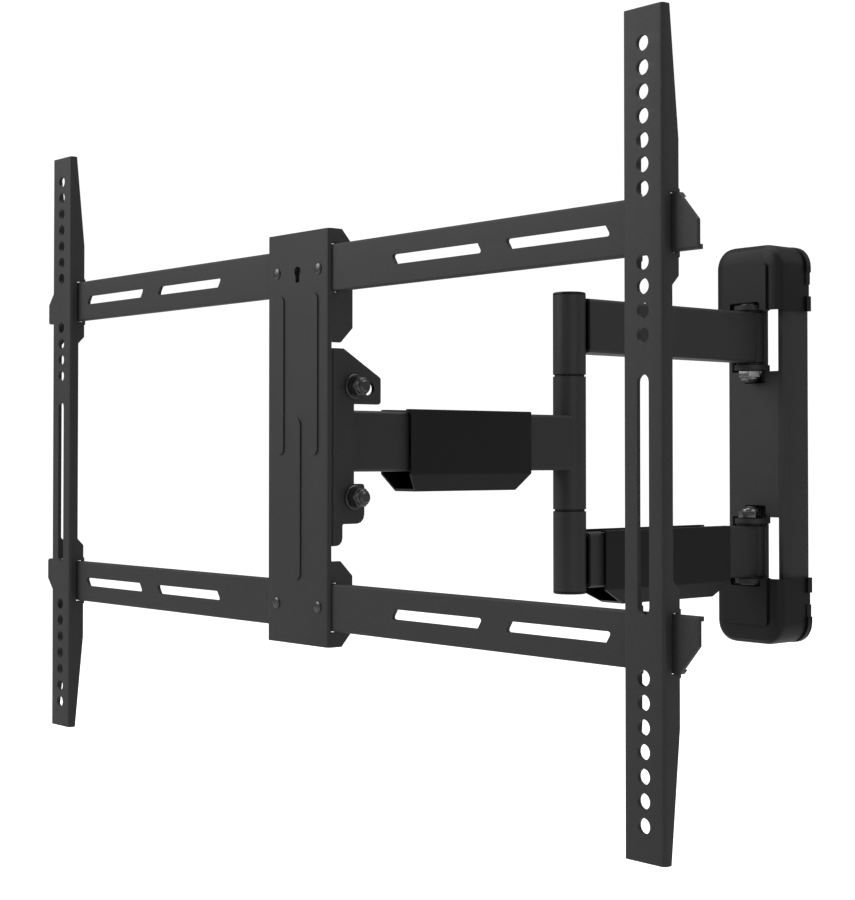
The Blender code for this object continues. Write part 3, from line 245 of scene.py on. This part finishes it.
def moulded_group():
    """Fine spark-eroded grain of moulded plastic, with broad smooth flow."""
    tree, given, out = new_group("moulded_grain", [("Vector", "NodeSocketVector", None),
                                                   ("Size", "NodeSocketFloat", 0.0005)],
                                 [("Height", "NodeSocketFloat"), ("Tone", "NodeSocketFloat")])
    vector = given.outputs["Vector"]
    density = maths(tree, "DIVIDE", 1.0, given.outputs["Size"])
    cells = tree.nodes.new("ShaderNodeTexVoronoi")
    cells.feature = "F1"
    tree.links.new(vector, cells.inputs["Vector"])
    tree.links.new(density, cells.inputs["Scale"])
    fine = noise(tree, vector, maths(tree, "MULTIPLY", density, 1.8), 2.0, 0.6)
    height = maths(tree, "ADD", maths(tree, "MULTIPLY", cells.outputs[0], 0.5),
                   maths(tree, "MULTIPLY", fine, 0.5))
    tree.links.new(height, out.inputs["Height"])
    tree.links.new(noise(tree, vector, 14.0, 3.0, 0.5), out.inputs["Tone"])
    return tree


def handling_group():
    """Faint rubs and dust that dull a surface in patches."""
    tree, given, out = new_group("handling", [("Vector", "NodeSocketVector", None),
                                              ("Amount", "NodeSocketFloat", 0.5)],
                                 [("Mask", "NodeSocketFloat"), ("Dust", "NodeSocketFloat")])
    vector = given.outputs["Vector"]
    stretch = tree.nodes.new("ShaderNodeMapping")
    stretch.inputs["Scale"].default_value = (1.0, 1.0, 4.0)
    stretch.inputs["Rotation"].default_value = (0.3, 0.5, 0.2)
    tree.links.new(vector, stretch.inputs["Vector"])
    rubs = map_range(tree, noise(tree, stretch.outputs[0], 45.0, 6.0, 0.65), 0.48, 0.72, 0, 1)
    patches = map_range(tree, noise(tree, vector, 9.0, 2.0, 0.5), 0.4, 0.65, 0, 1)
    mask = maths(tree, "MULTIPLY", maths(tree, "MULTIPLY", rubs, patches), given.outputs["Amount"])
    geometry = tree.nodes.new("ShaderNodeNewGeometry")
    parts = tree.nodes.new("ShaderNodeSeparateXYZ")
    tree.links.new(geometry.outputs["Normal"], parts.inputs[0])
    facing_up = map_range(tree, parts.outputs["Z"], 0.5, 1.0, 0, 1)
    motes = map_range(tree, noise(tree, vector, 900.0, 2.0, 0.6), 0.55, 0.75, 0, 1)
    dust = maths(tree, "MULTIPLY", maths(tree, "MULTIPLY", facing_up, motes), given.outputs["Amount"])
    tree.links.new(mask, out.inputs["Mask"])
    tree.links.new(dust, out.inputs["Dust"])
    return tree


def plating_group():
    """Cloudy crystals and fine tool lines of a plated, machined surface."""
    tree, given, out = new_group("plating", [("Vector", "NodeSocketVector", None),
                                             ("Size", "NodeSocketFloat", 0.0012)],
                                 [("Height", "NodeSocketFloat"), ("Tone", "NodeSocketFloat")])
    vector = given.outputs["Vector"]
    density = maths(tree, "DIVIDE", 1.0, given.outputs["Size"])
    clouds = noise(tree, vector, density, 5.0, 0.62)
    lines = tree.nodes.new("ShaderNodeTexWave")
    lines.wave_type = "RINGS"
    lines.rings_direction = "SPHERICAL"
    lines.inputs["Distortion"].default_value = 1.5
    tree.links.new(vector, lines.inputs["Vector"])
    tree.links.new(maths(tree, "MULTIPLY", density, 1.5), lines.inputs["Scale"])
    height = maths(tree, "ADD", maths(tree, "MULTIPLY", clouds, 0.5),
                   maths(tree, "MULTIPLY", lines.outputs["Fac"], 0.4))
    tree.links.new(height, out.inputs["Height"])
    tree.links.new(clouds, out.inputs["Tone"])
    return tree


GROUPS = {"powder_coat": powder_coat_group, "moulded_grain": moulded_group, "handling": handling_group,
          "plating": plating_group}


def place_group(mat, name, vector, **values):
    """Put a shared group in a material, building it the first time it is asked for."""
    tree = bpy.data.node_groups.get(name) or GROUPS[name]()
    node = mat.node_tree.nodes.new("ShaderNodeGroup")
    node.node_tree = tree
    mat.node_tree.links.new(vector, node.inputs["Vector"])
    for label, value in values.items():
        node.inputs[label].default_value = value
    return node


# -------------------------------------------------------------- materials

def new_material(name, roughness, metallic=0.0):
    """A material with its Principled shader and Object coordinates ready."""
    mat = bpy.data.materials.new(name)
    mat.use_nodes = True
    shader = mat.node_tree.nodes["Principled BSDF"]
    shader.inputs["Roughness"].default_value = roughness
    shader.inputs["Metallic"].default_value = metallic
    coordinates = mat.node_tree.nodes.new("ShaderNodeTexCoord")
    return mat, shader, coordinates.outputs["Object"]


def mix_colours(mat, factor, low, high):
    node = mat.node_tree.nodes.new("ShaderNodeMix")
    node.data_type = "RGBA"
    mat.node_tree.links.new(factor, node.inputs["Factor"])
    for socket, value in ((node.inputs["A"], low), (node.inputs["B"], high)):
        if isinstance(value, bpy.types.NodeSocket):
            mat.node_tree.links.new(value, socket)
        else:
            socket.default_value = (*value, 1)
    return node.outputs["Result"]


def bump(mat, shader, height, strength, distance):
    node = mat.node_tree.nodes.new("ShaderNodeBump")
    node.inputs["Strength"].default_value = strength
    node.inputs["Distance"].default_value = distance
    mat.node_tree.links.new(height, node.inputs["Height"])
    mat.node_tree.links.new(node.outputs["Normal"], shader.inputs["Normal"])


def scaled(colour, factor):
    return tuple(min(1.0, channel * factor) for channel in colour)


def powder_coated(name, colour, grain, roughness):
    mat, shader, vector = new_material(name, roughness)
    tree = mat.node_tree
    coat = place_group(mat, "powder_coat", vector, Size=grain)
    rubs = place_group(mat, "handling", vector, Amount=0.5)
    base = mix_colours(mat, coat.outputs["Tone"], scaled(colour, 0.88), scaled(colour, 1.14))
    flecked = mix_colours(mat, coat.outputs["Speck"], base, scaled(colour, 1.75))
    dusty = mix_colours(mat, rubs.outputs["Dust"], flecked, (0.09, 0.09, 0.088))
    tree.links.new(dusty, shader.inputs["Base Color"])
    tree.links.new(map_range(tree, rubs.outputs["Mask"], 0, 1, roughness, roughness - 0.14),
                   shader.inputs["Roughness"])
    shader.inputs["Specular IOR Level"].default_value = 0.32
    bump(mat, shader, coat.outputs["Height"], 0.35, grain * 0.22)
    return mat


def moulded_plastic(name, colour, grain, roughness):
    mat, shader, vector = new_material(name, roughness)
    tree = mat.node_tree
    skin = place_group(mat, "moulded_grain", vector, Size=grain)
    rubs = place_group(mat, "handling", vector, Amount=0.7)
    base = mix_colours(mat, skin.outputs["Tone"], scaled(colour, 0.85), scaled(colour, 1.2))
    dusty = mix_colours(mat, rubs.outputs["Dust"], base, (0.045, 0.045, 0.045))
    tree.links.new(dusty, shader.inputs["Base Color"])
    tree.links.new(map_range(tree, rubs.outputs["Mask"], 0, 1, roughness, roughness - 0.12),
                   shader.inputs["Roughness"])
    shader.inputs["Specular IOR Level"].default_value = 0.22
    bump(mat, shader, skin.outputs["Height"], 0.3, grain * 0.2)
    return mat


def plated(name, colour, roughness, metallic, size):
    mat, shader, vector = new_material(name, roughness, metallic)
    tree = mat.node_tree
    film = place_group(mat, "plating", vector, Size=size)
    rubs = place_group(mat, "handling", vector, Amount=0.8)
    base = mix_colours(mat, film.outputs["Tone"], scaled(colour, 0.72), scaled(colour, 1.25))
    tree.links.new(base, shader.inputs["Base Color"])
    tree.links.new(map_range(tree, rubs.outputs["Mask"], 0, 1, roughness, roughness + 0.15),
                   shader.inputs["Roughness"])
    bump(mat, shader, film.outputs["Height"], 0.25, 0.00008)
    return mat


def finish(slot):
    """The material for one of the record's material slots."""
    return bpy.data.materials["finish_" + slot]


# ----------------------------------------------------------------- pieces

def finished_piece(name, bm, nodes, shade_angle=SHARP_ANGLE):
    """Turn a bmesh into a piece that stands for CAD nodes and rides on their body."""
    mesh = bpy.data.meshes.new(name)
    bm.to_mesh(mesh)
    bm.free()
    mesh.shade_smooth()
    mesh.set_sharp_from_angle(angle=shade_angle)
    obj = bpy.data.objects.new(name, mesh)
    bpy.context.scene.collection.objects.link(obj)
    slot = SLOT_OF[nodes[0]]
    mesh.materials.append(finish(slot))
    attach(obj, BODY_OF[nodes[0]])
    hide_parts(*nodes)
    return obj


def softened(node, radius):
    """A copy of a CAD node with its sharp edges rounded."""
    bm = bmesh.new()
    bm.from_mesh(frame["nodes"][node].data)
    bmesh.ops.remove_doubles(bm, verts=bm.verts, dist=MERGE_DISTANCE)
    bmesh.ops.dissolve_limit(bm, angle_limit=math.radians(0.5), verts=bm.verts, edges=bm.edges)
    corners = [edge for edge in bm.edges if edge.is_manifold and edge.calc_face_angle(0) > BEVEL_ANGLE]
    bmesh.ops.bevel(bm, geom=corners, offset=radius, offset_type="OFFSET", segments=2, profile=0.5,
                    affect="EDGES", clamp_overlap=True, material=-1)
    bmesh.ops.triangulate(bm, faces=[face for face in bm.faces if len(face.verts) > 4])
    piece = finished_piece("piece_" + node, bm, [node])
    flat_faces = piece.modifiers.new("flat_faces", "WEIGHTED_NORMAL")
    flat_faces.keep_sharp = True
    flat_faces.weight = 100
    return piece


def turned(bm, profile, steps=ROUND):
    """Spin a profile of (radius, height) points about Z into a solid; closed() then shuts its poles."""
    points = [bm.verts.new((radius, 0, height)) for radius, height in profile]
    edges = [bm.edges.new(pair) for pair in zip(points, points[1:])]
    if profile[0][0] > 0:
        edges.append(bm.edges.new((points[-1], points[0])))
    bmesh.ops.spin(bm, geom=points + edges, cent=(0, 0, 0), axis=(0, 0, 1), angle=2 * math.pi,
                   steps=steps, use_merge=True, use_duplicate=False)


def closed(bm):
    """Close the poles and point every face outwards."""
    bmesh.ops.remove_doubles(bm, verts=bm.verts, dist=MERGE_DISTANCE)
    bmesh.ops.recalc_face_normals(bm, faces=bm.faces)


def hexagon_solid(bm, flats, low, high, corner):
    """A hexagonal prism about Z whose corners are rounded as a forged one's are."""
    radius = flats / math.sqrt(3)
    made = bmesh.ops.create_cone(bm, cap_ends=True, segments=6, radius1=radius, radius2=radius,
                                 depth=high - low, matrix=Matrix.Translation((0, 0, (low + high) / 2)))
    edges = {edge for vert in made["verts"] for edge in vert.link_edges}
    bmesh.ops.bevel(bm, geom=list(edges), offset=corner, segments=3, profile=0.5, affect="EDGES",
                    clamp_overlap=True, material=-1)


def thread(radius, low, high, pitch):
    """Profile points of a thread, drawn as rings, from low to high."""
    count = max(2, round((high - low) / pitch))
    step = (high - low) / count
    root = radius - pitch * 0.42
    points = []
    for turn in range(count):
        base = low + turn * step
        points += [(root, base), (root, base + step * 0.15), (radius, base + step * 0.5),
                   (radius, base + step * 0.65)]
    return points + [(root, high)]


def socket_head(bm, radius, low, high, socket_flats):
    """A low round head with a domed rim and a hexagon socket in its top."""
    rim = (high - low) * 0.35
    turned(bm, [(0, low), (radius * 0.97, low), (radius, low + rim * 0.3), (radius, high - rim),
                (radius * 0.93, high - rim * 0.35), (radius * 0.8, high), (0, high)], ROUND_SOCKET)
    closed(bm)
    top = [vert for vert in bm.verts if (vert.co - Vector((0, 0, high))).length < MERGE_DISTANCE][0]
    fan = list(top.link_faces)
    bmesh.ops.inset_region(bm, faces=fan, thickness=radius * 0.2, depth=0, use_even_offset=True)
    ring = {vert for face in fan if face.is_valid for vert in face.verts if vert is not top}
    for vert in ring:
        angle = math.atan2(vert.co.y, vert.co.x)
        sector = (angle + math.pi / 6) % (math.pi / 3) - math.pi / 6
        reach = socket_flats / 2 / math.cos(sector)
        vert.co.x, vert.co.y = reach * math.cos(angle), reach * math.sin(angle)
    made = bmesh.ops.extrude_face_region(bm, geom=list(top.link_faces))
    floor = [item for item in made["geom"] if isinstance(item, bmesh.types.BMVert)]
    bmesh.ops.translate(bm, verts=floor, vec=(0, 0, -(high - low) * 0.6))
    bmesh.ops.delete(bm, geom=[face for face in fan if face.is_valid], context="FACES_ONLY")


def placed(bm, centre, outward):
    """Turn a solid drawn about Z so that its Z points outward, and move it to centre."""
    turn = UP.rotation_difference(outward).to_matrix().to_4x4()
    bmesh.ops.transform(bm, matrix=Matrix.Translation(centre) @ turn, verts=bm.verts)
    bmesh.ops.recalc_face_normals(bm, faces=bm.faces)


def lock_nut(node, outward, bore, settings):
    """A hexagon lock nut with a rounded collar around its nylon ring."""
    axis = max(range(3), key=lambda index: abs(outward[index]))
    height = span(node, axis)
    flats = min(span(node, index) for index in range(3) if index != axis)
    bm = bmesh.new()
    low, high = -height / 2, height / 2
    collar = height * 0.3
    hexagon_solid(bm, flats, low, high - collar, settings.corner_round)
    turned(bm, [(bore, high - collar * 1.4), (flats * 0.47, high - collar * 1.4),
                (flats * 0.47, high - collar * 0.8), (flats * 0.455, high - collar * 0.35),
                (flats * 0.40, high), (flats * 0.34, high),
                (flats * 0.33, high - collar * 0.25), (bore, high - collar * 0.3)])
    closed(bm)
    placed(bm, middle(node), outward)
    return finished_piece("piece_" + node, bm, [node])


def washer(node, outward):
    """A flat washer with softened rims."""
    axis = max(range(3), key=lambda index: abs(outward[index]))
    thick = span(node, axis)
    radius = max(span(node, index) for index in range(3)) / 2
    bore = radius * 0.55
    rim = thick * 0.25
    bm = bmesh.new()
    turned(bm, [(bore, -thick / 2), (radius - rim, -thick / 2), (radius, -thick / 2 + rim),
                (radius, thick / 2 - rim), (radius - rim, thick / 2), (bore + rim, thick / 2),
                (bore, thick / 2 - rim)])
    closed(bm)
    placed(bm, middle(node), outward)
    return finished_piece("piece_" + node, bm, [node])


class Piece:
    """What every operator here shares."""
    bl_options = {"REGISTER", "UNDO"}


class TVMOUNT_OT_finishes(Piece, bpy.types.Operator):
    """Make the finishes and put them on the mount's solid pieces"""
    bl_idname = "tvmount.finishes"
    bl_label = "Finishes"

    def execute(self, context):
        look = context.scene.tvmount_finish
        made = {
            "powder_coated_steel": powder_coated("finish_powder_coated_steel", look.plate_colour,
                                                 look.coat_grain, 0.56),
            "arm_steel": powder_coated("finish_arm_steel", look.arm_colour, look.coat_grain, 0.5),
            "black_plastic": moulded_plastic("finish_black_plastic", look.plastic_colour, look.moulded_grain,
                                             0.46),
            "black_nylon": moulded_plastic("finish_black_nylon", look.nylon_colour, look.moulded_grain, 0.55),
            "zinc_plated_steel": plated("finish_zinc_plated_steel", look.zinc_colour, 0.22, 1.0, 0.0012),
            "black_oxide_steel": plated("finish_black_oxide_steel", look.bolt_colour, 0.3, 0.85, 0.0009),
        }
        for name, obj in frame["nodes"].items():
            for index in range(len(obj.material_slots)):
                obj.material_slots[index].material = made[SLOT_OF[name]]
        return {"FINISHED"}


class TVMOUNT_OT_plates(Piece, bpy.types.Operator):
    """Round the coated edges of the plates, bars, uprights and brackets"""
    bl_idname = "tvmount.plates"
    bl_label = "Plates and bars"

    def execute(self, context):
        radius = context.scene.tvmount_finish.sheet_edge
        for node in ("wall_plate", "centre_plate", "tilt_bracket", "head_yoke", "upper_bar", "lower_bar",
                     "left_upright", "right_upright"):
            softened(node, radius)
        return {"FINISHED"}


class TVMOUNT_OT_arms(Piece, bpy.types.Operator):
    """Round the edges of the welded arms"""
    bl_idname = "tvmount.arms"
    bl_label = "Arms"

    def execute(self, context):
        radius = context.scene.tvmount_finish.sheet_edge
        for node in ("front_arm", "rear_arm_top", "rear_arm_bottom"):
            softened(node, radius)
        return {"FINISHED"}


class TVMOUNT_OT_covers(Piece, bpy.types.Operator):
    """Round the edges of the cable covers and caps"""
    bl_idname = "tvmount.covers"
    bl_label = "Covers and caps"

    def execute(self, context):
        radius = context.scene.tvmount_finish.moulded_edge
        for node in ("front_cable_cover", "rear_cable_cover", "wall_cap_top", "wall_cap_bottom"):
            softened(node, radius)
        return {"FINISHED"}


class TVMOUNT_OT_hinge_bolts(Piece, bpy.types.Operator):
    """Model the vertical hinge bolts with socket heads and threads"""
    bl_idname = "tvmount.hinge_bolts"
    bl_label = "Hinge bolts"

    def execute(self, context):
        settings = context.scene.tvmount_fasteners
        for node, outward in (("wall_pivot_bolt_top", UP), ("wall_pivot_bolt_bottom", -UP),
                              ("head_pivot_bolt", UP), ("elbow_bolt", UP)):
            length = span(node, 2)
            head_radius = span(node, 0) / 2
            head = settings.elbow_head if node == "elbow_bolt" else settings.hinge_head
            shank, lead = HINGE_SHANK, 0.0006
            bm = bmesh.new()
            socket_head(bm, head_radius, length / 2 - head, length / 2, HINGE_SOCKET)
            start = -length / 2
            thread_end = start + length * 0.28
            turned(bm, [(0, start), (shank * 0.75, start),
                        *thread(shank, start + lead, thread_end, settings.hinge_pitch),
                        (shank, thread_end + lead), (shank, length / 2 - head * 0.9),
                        (0, length / 2 - head * 0.9)])
            closed(bm)
            placed(bm, middle(node), outward)
            finished_piece("piece_" + node, bm, [node])
        return {"FINISHED"}


class TVMOUNT_OT_lock_nuts(Piece, bpy.types.Operator):
    """Model the lock nuts on the hinge bolts and tilt bolts"""
    bl_idname = "tvmount.lock_nuts"
    bl_label = "Lock nuts"

    def execute(self, context):
        settings = context.scene.tvmount_fasteners
        for node, outward in (("wall_pivot_nut_top", -UP), ("wall_pivot_nut_bottom", UP),
                              ("head_pivot_nut", -UP), ("elbow_nut", -UP)):
            lock_nut(node, outward, HINGE_SHANK, settings)
        for place in ("lock", "pivot"):
            lock_nut(f"tilt_{place}_nut_right", RIGHT, TILT_SHANK, settings)
            lock_nut(f"tilt_{place}_nut_left", -RIGHT, TILT_SHANK, settings)
        return {"FINISHED"}


class TVMOUNT_OT_tilt_bolts(Piece, bpy.types.Operator):
    """Model the tilt bolts and their washers"""
    bl_idname = "tvmount.tilt_bolts"
    bl_label = "Tilt bolts"

    def execute(self, context):
        settings = context.scene.tvmount_fasteners
        for place in ("lock", "pivot"):
            for side, outward in (("right", RIGHT), ("left", -RIGHT)):
                node = f"tilt_{place}_bolt_{side}"
                end, flats, shank = span(node, 0) / 2, span(node, 1), TILT_SHANK
                root = -end + TILT_HEAD - 0.0005
                neck = -end + 0.009
                bm = bmesh.new()
                hexagon_solid(bm, flats, -end, -end + TILT_HEAD, settings.corner_round)
                turned(bm, [(0, root), (shank, root), (shank, neck),
                            *thread(shank, neck + 0.0005, end - 0.0006, settings.tilt_pitch),
                            (shank * 0.72, end), (0, end)])
                closed(bm)
                placed(bm, middle(node), outward)
                finished_piece("piece_" + node, bm, [node])
                washer(f"tilt_{place}_washer_{side}", outward)
        return {"FINISHED"}


class TVMOUNT_OT_bracket_nuts(Piece, bpy.types.Operator):
    """Model the flanged nuts and studs that hold the tilt bracket"""
    bl_idname = "tvmount.bracket_nuts"
    bl_label = "Bracket nuts"

    def execute(self, context):
        settings = context.scene.tvmount_fasteners
        for row in ("upper", "lower"):
            for side in ("left", "right"):
                node = f"bracket_nut_{row}_{side}"
                end = span(node, 1) / 2
                seat = end - BRACKET_NUT_HEIGHT
                flange = span(node, 0) / 2
                bm = bmesh.new()
                hexagon_solid(bm, BRACKET_NUT_FLATS, seat + 0.0008, end - 0.001, settings.corner_round)
                turned(bm, [(0, seat), (flange, seat), (flange, seat + 0.0007),
                            (flange * 0.82, seat + 0.0014), (flange * 0.5, seat + 0.002), (0, seat + 0.002)])
                turned(bm, [(0, -end), *thread(STUD_SHANK, -end + 0.0003, end - 0.0004, settings.stud_pitch),
                            (STUD_SHANK * 0.7, end), (0, end)])
                closed(bm)
                placed(bm, middle(node), BACK)
                finished_piece("piece_" + node, bm, [node])
        return {"FINISHED"}


class TVMOUNT_OT_rivets(Piece, bpy.types.Operator):
    """Model the domed rivets that join the bars to the centre plate"""
    bl_idname = "tvmount.rivets"
    bl_label = "Rivets"

    def execute(self, context):
        for row in ("upper", "lower"):
            for side in ("left", "right"):
                node = f"bar_rivet_{row}_{side}"
                end = span(node, 1) / 2
                head = span(node, 0) / 2
                shank, dome = RIVET_SHANK, RIVET_DOME
                crown = -end + dome * 0.5
                bm = bmesh.new()
                turned(bm, [(0, crown), (shank * 0.8, crown), (head * 0.9, -end + dome * 0.75),
                            (head, -end + dome), (shank, -end + dome), (shank, end - dome),
                            (head, end - dome), (head, end - dome * 0.75), (head * 0.85, end - dome * 0.3),
                            (head * 0.5, end), (0, end)])
                closed(bm)
                placed(bm, middle(node), -BACK)
                finished_piece("piece_" + node, bm, [node])
        return {"FINISHED"}


class TVMOUNT_OT_lock_screws(Piece, bpy.types.Operator):
    """Model the socket screws that lock the uprights to the bars"""
    bl_idname = "tvmount.lock_screws"
    bl_label = "Lock screws"

    def execute(self, context):
        pitch = context.scene.tvmount_fasteners.stud_pitch
        for side in ("left", "right"):
            for row in ("upper", "lower"):
                node = f"{side}_lock_screw_{row}"
                end = span(node, 1) / 2
                head = span(node, 0) / 2
                bm = bmesh.new()
                neck = end - LOCK_SCREW_HEAD
                socket_head(bm, head, neck, end, LOCK_SCREW_SOCKET)
                turned(bm, [(0, -end), *thread(LOCK_SCREW_SHANK, -end + 0.0002, neck - 0.0002, pitch * 0.8),
                            (0, neck + 0.0002)])
                closed(bm)
                placed(bm, middle(node), BACK)
                finished_piece("piece_" + node, bm, [node])
        return {"FINISHED"}


class TVMOUNT_OT_elbow_trim(Piece, bpy.types.Operator):
    """Model the caps that close the elbow column"""
    bl_idname = "tvmount.elbow_trim"
    bl_label = "Elbow trim"

    def execute(self, context):
        for place, outward in (("top", UP), ("bottom", -UP)):
            node = "elbow_cap_" + place
            top, radius = span(node, 2) / 2, span(node, 0) / 2
            rim = top - CAP_RIM
            dimple = top - 0.0004
            bm = bmesh.new()
            turned(bm, [(0, -top), (CAP_SPIGOT, -top), (CAP_SPIGOT, rim), (radius, rim),
                        (radius, top - 0.0008), (radius - 0.0003, top - 0.0003), (radius - 0.001, top),
                        (radius * 0.62, top - 0.00015), (radius * 0.6, dimple), (0, dimple)], ROUND_CAP)
            closed(bm)
            placed(bm, middle(node), outward)
            finished_piece("piece_" + node, bm, [node])
        return {"FINISHED"}


# ------------------------------------------------------------------ stage

def soft_light(name, place, target, size, power):
    """A rectangular area light that faces the target."""
    data = bpy.data.lights.new(name, "AREA")
    data.shape = "RECTANGLE"
    data.size, data.size_y = size
    data.energy = power
    light = bpy.data.objects.new(name, data)
    bpy.context.scene.collection.objects.link(light)
    light.location = place
    light.rotation_euler = (Vector(target) - Vector(place)).to_track_quat("-Z", "Y").to_euler()


class TVMOUNT_OT_stage(Piece, bpy.types.Operator):
    """Make the floor, lights and camera"""
    bl_idname = "tvmount.stage"
    bl_label = "Stage"

    def execute(self, context):
        stage = context.scene.tvmount_stage
        low, high = CAD_BOUNDS
        centre = (Vector(low) + Vector(high)) / 2
        bm = bmesh.new()
        bmesh.ops.create_grid(bm, x_segments=2, y_segments=2, size=30)
        bmesh.ops.translate(bm, verts=bm.verts, vec=(0, 0, low[2] - stage.floor_drop))
        mesh = bpy.data.meshes.new("floor")
        bm.to_mesh(mesh)
        bm.free()
        floor = bpy.data.objects.new("floor", mesh)
        context.scene.collection.objects.link(floor)
        mat, shader, vector = new_material("finish_floor", 0.7)
        tone = noise(mat.node_tree, vector, 3.0, 2.0)
        colour = mix_colours(mat, tone, scaled(stage.floor_colour, 0.985), scaled(stage.floor_colour, 1.015))
        mat.node_tree.links.new(colour, shader.inputs["Base Color"])
        shader.inputs["Emission Color"].default_value = (1, 1, 1, 1)
        seen = mat.node_tree.nodes.new("ShaderNodeLightPath").outputs["Is Camera Ray"]
        glow = maths(mat.node_tree, "MULTIPLY", seen, stage.floor_glow)
        mat.node_tree.links.new(glow, shader.inputs["Emission Strength"])
        mesh.materials.append(mat)

        world = context.scene.world or bpy.data.worlds.new("world")
        context.scene.world = world
        world.use_nodes = True
        background = world.node_tree.nodes["Background"]
        background.inputs["Color"].default_value = (1, 1, 1, 1)
        seen = world.node_tree.nodes.new("ShaderNodeLightPath").outputs["Is Camera Ray"]
        strength = map_range(world.node_tree, seen, 0, 1, stage.ambient, stage.backdrop)
        world.node_tree.links.new(strength, background.inputs["Strength"])
        context.scene.view_settings.view_transform = "Standard"

        soft_light("key_light", centre + Vector((-1.5, -1.9, 1.3)), centre, (1.6, 1.6), stage.key_power)
        soft_light("fill_light", centre + Vector((2.2, -0.6, 0.5)), centre, (1.4, 1.8), stage.fill_power)
        soft_light("back_light", centre + Vector((1.3, 2.2, 1.3)), centre, (1.6, 1.6), stage.back_power)
        soft_light("top_light", centre + Vector((0, 0.2, 1.9)), centre, (2.0, 2.0), stage.top_power)

        data = bpy.data.cameras.new("camera")
        camera = bpy.data.objects.new("camera", data)
        context.scene.collection.objects.link(camera)
        camera.location = stage.camera_place
        camera.rotation_euler = (math.pi / 2 + stage.camera_rise, 0, stage.camera_azimuth)
        data.sensor_width = 36
        data.lens = stage.focal_length
        data.shift_x, data.shift_y = stage.shift_x, stage.shift_y
        data.clip_start, data.clip_end = 0.01, 100
        context.scene.camera = camera
        return {"FINISHED"}


STEPS = (TVMOUNT_OT_finishes, TVMOUNT_OT_plates, TVMOUNT_OT_arms, TVMOUNT_OT_covers, TVMOUNT_OT_hinge_bolts,
         TVMOUNT_OT_lock_nuts, TVMOUNT_OT_tilt_bolts, TVMOUNT_OT_bracket_nuts, TVMOUNT_OT_rivets,
         TVMOUNT_OT_lock_screws, TVMOUNT_OT_elbow_trim, TVMOUNT_OT_stage)


class TVMOUNT_PT_panel(bpy.types.Panel):
    bl_label = "TV wall mount"
    bl_idname = "TVMOUNT_PT_panel"
    bl_space_type = "VIEW_3D"
    bl_region_type = "UI"
    bl_category = "TV mount"

    def draw(self, context):
        for settings in (context.scene.tvmount_finish, context.scene.tvmount_fasteners,
                         context.scene.tvmount_stage):
            box = self.layout.box()
            for name in settings.__annotations__:
                box.prop(settings, name)
        for step in STEPS:
            self.layout.operator(step.bl_idname)


SETTINGS = {"tvmount_finish": TVMountFinishSettings, "tvmount_fasteners": TVMountFastenerSettings,
            "tvmount_stage": TVMountStageSettings}


def register():
    for cls in (*SETTINGS.values(), *STEPS, TVMOUNT_PT_panel):
        bpy.utils.register_class(cls)
    for name, cls in SETTINGS.items():
        setattr(bpy.types.Scene, name, PointerProperty(type=cls))


def unregister():
    for name in SETTINGS:
        delattr(bpy.types.Scene, name)
    for cls in reversed((*SETTINGS.values(), *STEPS, TVMOUNT_PT_panel)):
        bpy.utils.unregister_class(cls)


def main():
    register()
    for step in STEPS:
        group, name = step.bl_idname.split(".")
        getattr(getattr(bpy.ops, group), name)()


if __name__ == "__main__":
    main()
